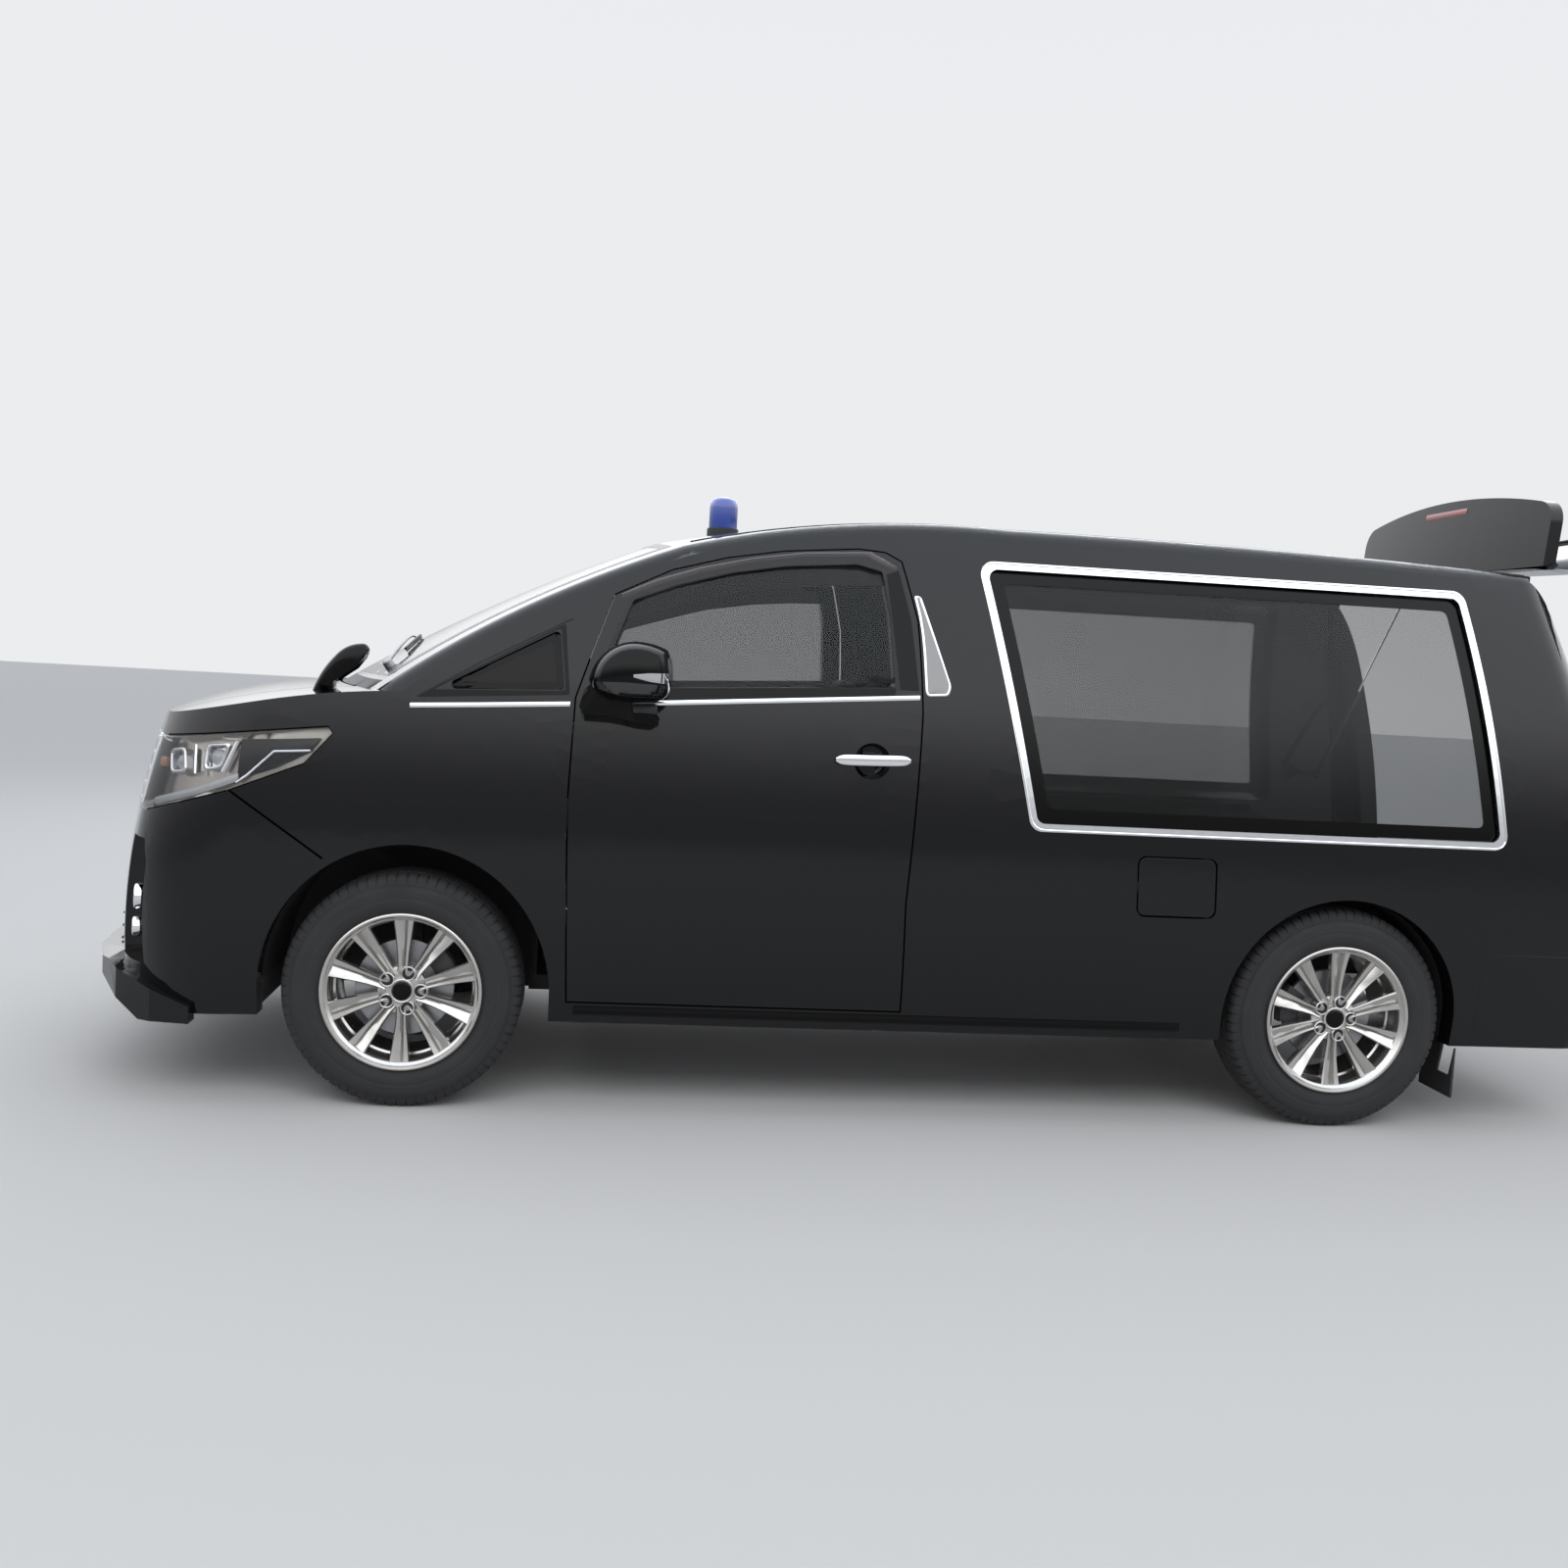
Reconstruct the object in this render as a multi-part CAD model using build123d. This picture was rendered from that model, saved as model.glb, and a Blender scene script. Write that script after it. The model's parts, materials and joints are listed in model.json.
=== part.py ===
from build123d import *
import math
import os

os.makedirs("parts", exist_ok=True)

# Working frame, in mm: X runs rearward from the front axle, Y to the car's right, Z up from the ground.
# The last step moves everything so that the origin is the bottom centre of the whole car.

# Driving sizes
wheelbase = 3000
track = 1570
tyre_diameter = 727
tyre_width = 225
bead_diameter = 457
rim_flange_diameter = 488
wall = 70
bonnet_wall = 35
glass_thickness = 5
glass_inset = 12
gap = 5
floor_top = 340
deck_top = 820
gate_open = 90
pin_radius = 2.2
door_pin = (475.5, 928.4, 750, 0.052)
lid_pin = (2277.7, 924, 782)
kingpin_y = 740

axle_z = tyre_diameter / 2
wheel_y = track / 2

# Outline of the body in plan at each height. Columns: height, half width, front reach, rear reach
levels = [
    (180, 868, -960, 3925),
    (420, 908, -1000, 3985),
    (700, 925, -985, 3990),
    (950, 923, -940, 3965),
    (1250, 893, -865, 3915),
    (1500, 838, -820, 3855),
    (1780, 742, -780, 3785),
    (1980, 655, -750, 3740),
]
front_bow, side_bow, rear_bow = 230, 14, 40
front_corner, rear_corner = 340, 130

# Outline of bonnet, windscreen and roof from the side. Columns: (x, z) on the centre line, (x, z) at crown_y out.
# Every second row is the middle of an arc.
crown_y = 950
crown = [
    ((-1010, 880), (-960, 820)),
    ((-935, 1090), (-890, 1010)),
    ((-790, 1205), (-740, 1135)),
    ((-560, 1268), (-350, 1235)),
    ((-330, 1290), (-55, 1272)),
    ((200, 1590), (370, 1540)),
    ((720, 1822), (855, 1742)),
    ((1200, 1900), (1350, 1850)),
    ((1800, 1924), (1900, 1872)),
    ((2800, 1918), (2800, 1864)),
    ((3680, 1888), (3680, 1840)),
    ((4150, 1850), (4150, 1798)),
]
rail_round = 60

# Seams seen from the side. Columns: x, z
door_edge = [
    # x, z, then how far the shut face leans inward, per mm of depth, in x and in z
    (500, 352, 0.05, 0.08),
    (478, 964, 0.05, 0.00),
    (488, 1285, 0.05, 0.00),
    (592, 1605, 0.06, -0.10),
    (764, 1692, 0.04, -0.12),
    (936, 1742, 0.00, -0.12),
    (1115, 1775, 0.00, -0.12),
    (1352, 1797, -0.04, -0.12),
    (1437, 1791, -0.12, -0.12),
    (1487, 1765, -0.20, -0.12),
    (1537, 1578, -0.20, 0.00),
    (1557, 1290, -0.14, 0.00),
    (1532, 700, -0.12, 0.00),
    (1540, 352, -0.12, 0.08),
]
door_window = [(545, 1318), (648, 1592), (785, 1648), (950, 1696), (1120, 1728), (1345, 1748), (1425, 1730),
               (1452, 1600), (1470, 1368)]
quarter_window = [(70, 1290), (430, 1490), (452, 1306)]
load_window = [(1734, 1787), (3395, 1790), (3524, 946), (1919, 943)]
frame_strip = 25
lamp_edge = [(-1100, 862), (-779, 875), (-521, 957), (-304, 1047), (-224, 1140), (-238, 1158), (-500, 1128),
             (-731, 1102), (-1100, 1102)]
bumper_edge = [(-1100, 262), (-1100, 862), (-779, 875), (-521, 957), (-215, 745), (-215, 285)]
fender_edge = [(473, 285), (473, 1268), (-10, 1250), (-140, 1268), (-140, 1400), (-1000, 1400), (-1000, 1102),
               (-731, 1102), (-500, 1128), (-238, 1158), (-224, 1140), (-304, 1047), (-521, 957), (-215, 745),
               (400, 285)]
side_edge = [(473, 285), (3475, 285), (3475, 600), (4100, 600), (4100, 2000), (-140, 2000), (-140, 1268),
             (-10, 1250), (473, 1268)]
tail_lamp_edge = [(3790, 985), (4100, 985), (4100, 1420), (3765, 1420)]
# Seam between the roof and the body side, from above
roof_half = [(-400, 797), (-60, 790), (800, 652), (1300, 625), (3800, 615)]

lamp_y = 640
# Lip under the front bumper: seen from the side, and its outer edge from above on the right. Columns: x, z and x, y
lip_edge = [(-1045, 405), (-1040, 385), (-950, 362), (-780, 248), (-620, 248), (-620, 300), (-900, 408)]
lip_plan = [(-620, 895), (-740, 872), (-860, 800), (-935, 690), (-1000, 500), (-1035, 250), (-1045, 0)]
# Recess at each front corner and its two fog lamps, stacked. Columns: y, z and y, z, radius
recess_edge = [(-815, 412), (-655, 412), (-672, 790), (-790, 790), (-815, 720)]
recess_depth = 48
fog_lamps = [(-728, 603, 36), (-722, 508, 27)]
grille_low, grille_high = 862, 1102
cell_pitch, cell_width, cell_height, cell_rows = 70, 56, 33, 5

# Outlines of the mirrors from the side, each row one arc of three points. Columns: x, z
mirror_arcs = [
    ((527, 1345), (570, 1425), (650, 1461)),
    ((650, 1461), (705, 1457), (752, 1441)),
    ((752, 1441), (768, 1390), (762, 1320)),
    ((762, 1320), (740, 1296), (702, 1286)),
    ((702, 1286), (650, 1283), (600, 1283)),
    ((600, 1283), (548, 1308), (527, 1345)),
]
# Columns: distance out, size
mirror_sections = [(-948, 0.80), (-985, 0.97), (-1040, 1.0), (-1100, 0.74)]
mirror_foot = [(500, 1262), (512, 1240), (589, 1238), (628, 1232), (672, 1222), (716, 1219), (741, 1236),
               (732, 1249), (695, 1252), (660, 1250), (655, 1290), (600, 1292), (535, 1335), (512, 1312)]
fender_mirror_arcs = [
    ((-322, 1225), (-298, 1300), (-245, 1378)),
    ((-245, 1378), (-200, 1408), (-166, 1413)),
    ((-166, 1413), (-150, 1400), (-154, 1378)),
    ((-154, 1378), (-190, 1352), (-235, 1318)),
    ((-235, 1318), (-246, 1290), (-232, 1225)),
    ((-232, 1225), (-275, 1222), (-322, 1225)),
]
fender_mirror_sections = [(-712, 0.72), (-732, 0.94), (-765, 1.0), (-795, 0.74)]
spoiler_tip, spoiler_side, spoiler_half, spoiler_wall = 4007, 3942, 630, 45
liner_wall = 6
support_x = -745
disc_radius, disc_bore = 150, 70
bonnet_half = 690
bonnet_pin = (-207, 660, 1272)
bonnet_front_z = 1108
screen_base_row, screen_top_row = 4, 6
bonnet_back, cowl_front, screen_base, screen_top = -15, -5, 42, -6
hatch_x = 3712
hatch_z = 1890
hatch_half = 700
hatch_bottom = 605
front_arch = (10, 435, 455)
rear_arch = (wheelbase, 400, 400)
fuel_lid = (2285, 2540, 690, 875)

shapes = {}


def half_width(z):
    for low, high in zip(levels, levels[1:]):
        if z <= high[0]:
            share = (z - low[0]) / (high[0] - low[0])
            return low[1] + share * (high[1] - low[1])
    return levels[-1][1]


def plan_section(z, half, front, rear, inset):
    half, front, rear = half - inset, front + inset, rear - inset
    middle = (front + rear) / 2
    front_end, rear_end, side = front + front_bow, rear - rear_bow, half - side_bow
    face = make_face([
        ThreePointArc((front_end, -side), (front, 0), (front_end, side)),
        ThreePointArc((front_end, side), (middle, half), (rear_end, side)),
        ThreePointArc((rear_end, side), (rear, 0), (rear_end, -side)),
        ThreePointArc((rear_end, -side), (middle, -half), (front_end, -side)),
    ])
    face = fillet([v for v in face.vertices() if v.X < middle], front_corner - 0.8 * inset)
    rears = [v for v in face.vertices() if v.X > rear_end - 1 and abs(abs(v.Y) - side) < 1]
    face = fillet(rears, rear_corner - 0.8 * inset)
    return Pos(0, 0, z) * face


def crown_wire(points, y, inset, bottom=100):
    moved = []
    for i, (x, z) in enumerate(points):
        before, after = points[max(i - 1, 0)], points[min(i + 1, len(points) - 1)]
        dx, dz = after[0] - before[0], after[1] - before[1]
        run = math.hypot(dx, dz)
        moved.append((x + dz / run * inset, y, z - dx / run * inset))
    edges = [ThreePointArc(*moved[i:i + 3]) for i in range(0, len(moved) - 2, 2)]
    first, last = moved[0], moved[-1]
    edges.append(Line(moved[-2], last))
    edges.append(Line(last, (last[0], y, bottom)))
    edges.append(Line((last[0], y, bottom), (first[0], y, bottom)))
    edges.append(Line((first[0], y, bottom), first))
    return Wire(edges)


def build_crown(inset):
    middle = [row[0] for row in crown]
    outer = [row[1] for row in crown]
    return Solid.make_loft([
        crown_wire(outer, -crown_y, inset),
        crown_wire(middle, 0, inset),
        crown_wire(outer, crown_y, inset),
    ], False)


def build_form(inset):
    sides = loft([plan_section(z, half, front, rear, inset) for z, half, front, rear in levels])
    body = sides & build_crown(inset)
    if inset == wall:
        return body
    rails = [
        e for e in body.edges()
        if e.length > 500 and e.bounding_box().min.Z > 1150 and abs((e @ 0.5).Y) > 500 and 0 < (e @ 0.5).X < 3700
    ]
    return fillet(rails, rail_round - 0.5 * inset)


forms = {}


def form(inset):
    if inset not in forms:
        forms[inset] = build_form(inset)
    return forms[inset]


def polygon(points):
    return make_face(Polyline(*points, close=True))


def side_prism(points, y_from=560, y_to=980, rounding=0):
    face = polygon(points)
    if rounding:
        face = fillet(face.vertices(), rounding)
    return Pos(0, -y_from, 0) * extrude(Plane.XZ * face, y_to - y_from)


def top_prism(points, z_from, z_to):
    return Pos(0, 0, z_from) * extrude(polygon(points), z_to - z_from)


def front_prism(points, x_from, x_to):
    plane = Plane(origin=(x_from, 0, 0), x_dir=(0, 1, 0), z_dir=(1, 0, 0))
    return extrude(plane * polygon(points), x_to - x_from)


def crease_arc(row, offset, half=900):
    (middle_x, _), (outer_x, _) = crown[row]
    side_x = middle_x + (outer_x - middle_x) * (half / crown_y) ** 2
    return ThreePointArc((side_x + offset, -half), (middle_x + offset, 0), (side_x + offset, half))


def band(front, rear, z_from=1000, z_to=2100):
    # Plan zone between two arcs across the car
    ends = [Line(front @ 1, rear @ 1), Line(rear @ 0, front @ 0)]
    return Pos(0, 0, z_from) * extrude(make_face([front, ends[0], rear, ends[1]]), z_to - z_from)


def block(x, y, z):
    return Pos((x[0] + x[1]) / 2, (y[0] + y[1]) / 2, (z[0] + z[1]) / 2) * Box(x[1] - x[0], y[1] - y[0], z[1] - z[0])


def rod(start, end, radius):
    start, end = Vector(*start), Vector(*end)
    plane = Plane(origin=start, z_dir=end - start)
    return extrude(plane * Circle(radius), (end - start).length)


def mirrored(shape):
    return mirror(shape, about=Plane.XZ)


def grow(points, distance):
    grown = []
    count = len(points)
    area = sum(points[i][0] * points[(i + 1) % count][1] - points[(i + 1) % count][0] * points[i][1]
               for i in range(count))
    turn = 1 if area > 0 else -1
    for i in range(count):
        (ax, az), (bx, bz), (cx, cz) = points[i - 1], points[i], points[(i + 1) % count]
        first = Vector(bx - ax, bz - az, 0).normalized()
        second = Vector(cx - bx, cz - bz, 0).normalized()
        out_first = Vector(first.Y, -first.X, 0) * turn
        out_second = Vector(second.Y, -second.X, 0) * turn
        bisector = (out_first + out_second).normalized()
        reach = distance / max(bisector.dot(out_first), 0.3)
        grown.append((bx + bisector.X * reach, bz + bisector.Y * reach))
    return grown


def door_prism(extra):
    wires = []
    for y in (960, 560):
        points = [(x + lean_x * (half_width(z) - y), z + lean_z * (half_width(z) - y))
                  for x, z, lean_x, lean_z in door_edge]
        points = grow(points, extra)
        wires.append(Wire(Polyline(*[(x, -y, z) for x, z in points], close=True).edges()))
    return Solid.make_loft(wires, True)


def arch(centre, reach, height):
    cut = Pos(centre, 0, axle_z) * (Rot(90, 0, 0) * extrude(Ellipse(reach, height), 980, both=True))
    return cut + block((centre - reach, centre + reach), (-980, 980), (0, axle_z))


def add(name, shape):
    shapes[name] = shape


def add_pair(name, shape):
    add(name + "_left", shape)
    add(name + "_right", mirrored(shape))


def skin(zone, start=0, end=wall):
    return (form(start) & zone) - form(end)


def glass(zone):
    return skin(zone, glass_inset, glass_inset + glass_thickness)


outer = form(0)
inner = form(wall)
far = 2000
roof_plan = roof_half + [(x, -y) for x, y in reversed(roof_half)]
screen_front = crease_arc(screen_base_row, cowl_front)
far_front, far_rear = crease_arc(screen_base_row, -1500), crease_arc(screen_base_row, 4200)
centre_zone = top_prism(roof_plan, 1150, 2100) & band(screen_front, far_rear)
left_zone = block((-1500, 4500), (-980, -560), (0, 2100))

# Arches
front_cut = arch(*front_arch) & block((-600, 600), (-980, -466), (0, 1200))
rear_cut = arch(*rear_arch) & block((0, 4500), (-980, -645), (0, 1200))

# Body sides
door_hole = door_prism(gap)
door_cut = door_prism(0)
load_cut = side_prism(load_window, rounding=45)
quarter_cut = side_prism(quarter_window, rounding=14)
hatch_zone = block((3650, 4500), (-hatch_half, hatch_half), (300, 2100))
lamp_cut = side_prism(tail_lamp_edge, y_from=705)
lid_x0, lid_x1, lid_z0, lid_z1 = fuel_lid
lid_face = [(lid_x0, lid_z0), (lid_x1, lid_z0), (lid_x1 - 8, lid_z1), (lid_x0 - 8, lid_z1)]
lid_cut = side_prism(lid_face, rounding=25)
pocket = side_prism(grow(lid_face, gap), y_from=half_width(780) - 48, rounding=28)

pin_x, pin_y, pin_z, pin_lean = door_pin
pin_room = block((pin_x - 6, pin_x + 5), (-pin_y - 12, -pin_y + 16), (875, 985))
side_zone = side_prism(side_edge) - [centre_zone, door_hole, load_cut, quarter_cut, hatch_zone, rear_cut, front_cut,
                                     pin_room]
tail_lamp = skin(lamp_cut, 0, 30)
side = skin(side_zone) - tail_lamp

# Strut pivots, on the body and on the hatch when it is closed
strut_y = 672
strut_body = (3640, 1080)
strut_gate = (3665, 1640)
stud = rod((strut_body[0], -strut_y - 12, strut_body[1]), (strut_body[0], -900, strut_body[1]), 9) & inner
side = side + stud
fuel_pocket_y = -half_width(780) + 48
cap = rod((2410, fuel_pocket_y - 5, 782), (2410, fuel_pocket_y - 30, 782), 38)
cap += rod((2410, fuel_pocket_y + 5, 782), (2410, fuel_pocket_y - 10, 782), 48)
lid_hinge = rod((lid_pin[0], -lid_pin[1], lid_pin[2] - 15), (lid_pin[0], -lid_pin[1], lid_pin[2] + 15), pin_radius)
lid_hinge += Pos(lid_pin[0] - 2, -lid_pin[1], lid_pin[2]) * Box(4, 5, 24)
add("side_left", (side - pocket) + cap + lid_hinge)
add("side_right", mirrored(side))
add_pair("load_glass", glass(load_cut))
strip = load_cut - side_prism(grow(load_window, -frame_strip), rounding=30)
add_pair("load_window_frame", skin(strip, -5, 0))
add_pair("quarter_glass", glass(quarter_cut))
add_pair("tail_lamp", tail_lamp)

# Fuel lid
add("fuel_lid", skin(lid_cut, 0, 12))

# Roof, windscreen and cowl
crown_solid = build_crown(0)
top_line = crease_arc(screen_top_row, screen_top)
base_line = crease_arc(screen_base_row, screen_base)
roof_zone = centre_zone & band(top_line, far_rear) & block((0, hatch_x - gap), (-far, far), (1150, 2100))
add("roof", (crown_solid & roof_zone) - build_crown(bonnet_wall))
add("windscreen", (crown_solid & centre_zone & band(base_line, top_line)) - build_crown(6))
cowl = (crown_solid & centre_zone & band(screen_front, base_line)) - build_crown(bonnet_wall)


# Bonnet hinges, one each side, in the gap between bonnet and cowl
def build_hinge():
    x, y, z = bonnet_pin
    slot = rod((x, -y - 16, z), (x, -y + 16, z), 8)
    slot += block((x - 6, x + 6), (-y - 16, -y + 16), (z, z + 20))
    fixed = rod((x, -y - 17, z), (x, -y + 17, z), 2.5)
    sleeve = rod((x, -y - 8, z), (x, -y + 8, z), 4.5)
    sleeve += block((x - 16, x), (-y - 8, -y + 8), (z - 4, z + 2))
    sleeve -= rod((x, -y - 20, z), (x, -y + 20, z), 2.55)
    return slot, fixed, sleeve


hinge_slot, hinge_bolt, hinge_sleeve = build_hinge()


# Front end
def door_axis(z):
    return (pin_x, -pin_y + pin_lean * (z - pin_z), z)


door_hinge = rod(door_axis(880), door_axis(980), pin_radius)
door_hinge += Pos(pin_x - 3, door_axis(930)[1], 930) * Box(4, 2.4, 50)
bonnet_hole = band(far_front, screen_front) & block((-1500, 500), (-bonnet_half - gap, 0), (1060, 1500))
add_pair("fender", skin(side_prism(fender_edge) - [bonnet_hole, front_cut, centre_zone]) + door_hinge)

bonnet_zone = band(far_front, crease_arc(screen_base_row, bonnet_back))
bonnet_zone = bonnet_zone & block((-1500, 500), (-bonnet_half, bonnet_half), (bonnet_front_z, 1500))
bonnet = skin(bonnet_zone, 0, bonnet_wall) - hinge_slot - mirrored(hinge_slot)
add("bonnet", bonnet + hinge_sleeve + mirrored(hinge_sleeve))
cowl = cowl - hinge_slot - mirrored(hinge_slot)
add("cowl", cowl + hinge_bolt + mirrored(hinge_bolt))

lamp_zone = side_prism(lamp_edge, y_from=lamp_y)
add_pair("headlamp", skin(lamp_zone))

grille_zone = block((-1500, -600), (-lamp_y, lamp_y), (grille_low, grille_high))
row_pitch = (grille_high - grille_low) / cell_rows
columns = int(2 * lamp_y / cell_pitch)
cells = [
    Pos(-1000, (i + 0.5 - columns / 2) * cell_pitch, grille_low + (j + 0.5) * row_pitch)
    * Box(800, cell_width, cell_height)
    for i in range(columns) for j in range(cell_rows)
]
add("grille", skin(grille_zone, -3, 30) - cells)

bumper_zone = extrude(Plane.XZ * polygon(bumper_edge), far / 2, both=True)
bumper_zone = bumper_zone - block((-1500, 0), (-lamp_y, lamp_y), (grille_low, 1200))
intake = front_prism([(-470, 300), (470, 300), (430, 520), (-430, 520)], -1200, -600)
recess = front_prism(recess_edge, -1200, -600)
recess -= form(recess_depth)
front_bumper = skin(bumper_zone - [intake, front_cut, mirrored(front_cut), recess, mirrored(recess)])
lamps = [rod((-850, y, z), (-600, y, z), radius) for y, z, radius in fog_lamps]
lamps = ((lamps[0] + lamps[1]) & form(recess_depth - 28)) - form(wall - 5)
lip = extrude(Plane.XZ * polygon(lip_edge), far / 2, both=True)
lip = lip & top_prism(lip_plan + [(x, -y) for x, y in reversed(lip_plan[:-1])], 200, 500)
lip = lip - form(30)
front_bumper = front_bumper + lip + lamps + mirrored(lamps)
add("front_bumper", front_bumper + skin(grille_zone, 30, wall))

rear_zone = block((3475, 4500), (-far, far), (285, 600))
add("rear_bumper", skin(rear_zone))


# Doors
def build_door():
    door = skin(door_cut - side_prism(door_window, rounding=14))
    bowl = Pos(1405, -half_width(1135) + 2, 1138) * (Rot(90, 0, 0) * Cone(44, 66, 56))
    return door - bowl


def build_handle():
    y = half_width(1135)
    bar = rod((1300, -y - 22, 1135), (1510, -y - 18, 1142), 11)
    posts = rod((1318, -y + 20, 1136), (1318, -y - 22, 1136), 9)
    posts += rod((1492, -y + 20, 1141), (1492, -y - 20, 1141), 9)
    return (bar + posts) - outer


def pod(arcs, centre, sections):
    # Loft of one outline, drawn smaller or larger about its centre at each distance out
    wires = []
    for y, size in sections:
        spots = [[(centre[0] + (x - centre[0]) * size, y, centre[1] + (z - centre[1]) * size) for x, z in arc]
                 for arc in arcs]
        wires.append(Wire([ThreePointArc(*spot) for spot in spots]))
    return Solid.make_loft(wires, False)


def build_mirror():
    head = pod(mirror_arcs, (650, 1370), mirror_sections)
    foot = side_prism(mirror_foot, y_from=860, y_to=990)
    return (head + foot) - outer


door = build_door()
add_pair("door", door)
add_pair("door_glass", glass(side_prism(door_window, rounding=14)))
add_pair("door_handle", build_handle())
add_pair("door_mirror", build_mirror())

# Hatch, built shut and then turned up about its hinge line
hatch_window = front_prism([(-590, 1190), (590, 1190), (545, 1700), (-545, 1700)], 3500, 4200)
hatch_zone_fit = block((hatch_x, 4500), (-hatch_half + gap, hatch_half - gap), (hatch_bottom, 2100))
hatch = skin(hatch_zone_fit - hatch_window)
hatch_pin = block((strut_gate[0] - 10, hatch_x + 30), (-strut_y - 20, -strut_y - 8),
                  (strut_gate[1] - 15, strut_gate[1] + 15))
hatch = hatch + hatch_pin + mirrored(hatch_pin)
hatch_glass = glass(hatch_window)


def build_spoiler():
    # A rearward run of the roof's surface, bowed at its free edge
    front = hatch_x + 14
    face = make_face([
        ThreePointArc((spoiler_side, -spoiler_half), (spoiler_tip, 0), (spoiler_side, spoiler_half)),
        Line((spoiler_side, spoiler_half), (front, spoiler_half)),
        Line((front, spoiler_half), (front, -spoiler_half)),
        Line((front, -spoiler_half), (spoiler_side, -spoiler_half)),
    ])
    face = fillet([v for v in face.vertices() if v.X > front + 1], 80)
    zone = Pos(0, 0, 1700) * extrude(face, 300)
    return (zone & crown_solid) - build_crown(spoiler_wall) - outer


wing = build_spoiler()


def open_hatch(shape):
    return Pos(hatch_x, 0, hatch_z) * (Rot(0, -gate_open, 0) * (Pos(-hatch_x, 0, -hatch_z) * shape))


add("hatch", open_hatch(hatch))
add("hatch_glass", open_hatch(hatch_glass))
add("hatch_spoiler", open_hatch(wing))

# Gas struts
gate_x, gate_z = strut_gate[0] - hatch_x, strut_gate[1] - hatch_z
opened = (hatch_x - gate_z, hatch_z + gate_x)
strut_reach = math.dist(strut_body, opened)
tube_length, piston_start = 400, 340
way = ((opened[0] - strut_body[0]) / strut_reach, (opened[1] - strut_body[1]) / strut_reach)


def along(distance):
    return (strut_body[0] + way[0] * distance, -strut_y, strut_body[1] + way[1] * distance)


tube = rod(along(0), along(tube_length), 11) - rod(along(20), along(tube_length + 1), 7.5)
tube += Pos(*along(0)) * (Rot(90, 0, 0) * Cylinder(14, 24))
add_pair("strut_tube", tube)
piston_rod = rod(along(piston_start), along(strut_reach), 5) + rod(along(piston_start), along(piston_start + 20), 7)
piston_rod += Pos(*along(strut_reach)) * (Rot(90, 0, 0) * Cylinder(12, 16))
add_pair("strut_rod", piston_rod)

# Floor, wheel housings, bulkhead and front rails
floor = inner & block((360, 2560), (-far, far), (floor_top - 50, floor_top))
floor = floor + block((2540, 2560), (-640, 640), (floor_top - 50, 500))
floor = floor + block((2540, 3690), (-640, 640), (470, 500))
for y in (-640, 620):
    floor = floor + block((2540, 3690), (y, y + 20), (470, deck_top - 30))
floor = floor + (inner & block((360, 385), (-840, 840), (floor_top - 50, 1180)))
for y in (-460, 400):
    floor = floor + block((-760, 370), (y, y + 60), (350, 440))
for y in (-465, 450):
    floor = floor + block((-560, 370), (y, y + 15), (300, 1080))
floor = floor + block((-740, 370), (-465, 465), (300, 306))
floor = floor + block((support_x - 30, support_x), (-500, 500), (350, 840))
floor = floor - front_cut - mirrored(front_cut)


def build_liner(centre, reach, height, inner_y):
    # Sheet over a wheel, from the wheel house's wall out to the body side
    ring = arch(centre, reach + liner_wall, height + liner_wall) - arch(centre, reach, height)
    return ring & block((-600, 3600), (-900, inner_y), (300, 1000)) & form(wall + 1)


for liner in (build_liner(*front_arch, -455), build_liner(*rear_arch, -630)):
    floor = floor + liner + mirrored(liner)
tank = block((1750, 2450), (-420, 420), (195, floor_top - 50))
floor = floor + fillet(tank.edges().filter_by(Axis.X), 20)
arm = block((-50, 50), (-760, -400), (200, 225)) + block((-50, 50), (-440, -400), (200, 350))
floor = floor + arm + mirrored(arm)
add("floor", floor)

deck = inner & block((1650, 3690), (-845, 845), (deck_top - 30, deck_top))
for y in (-300, 270):
    deck = deck + block((1700, 3660), (y, y + 30), (deck_top, deck_top + 25))
deck = deck + (inner & block((1626, 1651), (-830, 830), (floor_top, 1150)))
add("deck", deck)


# Cab
def pad(x, y, z, rounding):
    shape = Box(x, y, z)
    return fillet(shape.edges(), rounding)


def build_seat(y):
    cushion = Pos(1140, y, floor_top + 225) * pad(480, 480, 130, 38)
    plinth = block((960, 1330), (y - 180, y + 180), (floor_top, floor_top + 165))
    back = Pos(1400, y, 900) * (Rot(0, 12, 0) * pad(120, 480, 620, 45))
    head = Pos(1490, y, 1290) * (Rot(0, 12, 0) * pad(90, 250, 170, 34))
    stem = Pos(1462, y, 1200) * (Rot(0, 12, 0) * Box(20, 120, 120))
    return cushion + plinth + back + head + stem


add("seat_left", build_seat(-390))
add("seat_right", build_seat(390))
dash = extrude(Plane.XZ * polygon([(385, 1180), (385, 760), (520, 700), (640, 760), (680, 930), (640, 1040),
                                   (480, 1150)]), 800, both=True) & form(wall + 1)
wheel_hub = (800, 390, 1010)
wheel_tilt = 62
steering = Torus(185, 14) + Pos(0, 0, -8) * Cylinder(45, 30)
for angle in (0, 120, 240):
    steering += Rot(0, 0, angle) * Pos(92, 0, -4) * Box(186, 26, 12)
steering = Pos(*wheel_hub) * (Rot(0, wheel_tilt, 0) * steering)
add("steering_wheel", steering)
lean = (math.sin(math.radians(wheel_tilt)), math.cos(math.radians(wheel_tilt)))
column = rod((wheel_hub[0] - lean[0] * 23.3, wheel_hub[1], wheel_hub[2] - lean[1] * 23.3),
             (wheel_hub[0] - lean[0] * 230, wheel_hub[1], wheel_hub[2] - lean[1] * 230), 26)
add("dashboard", dash + column)

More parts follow.
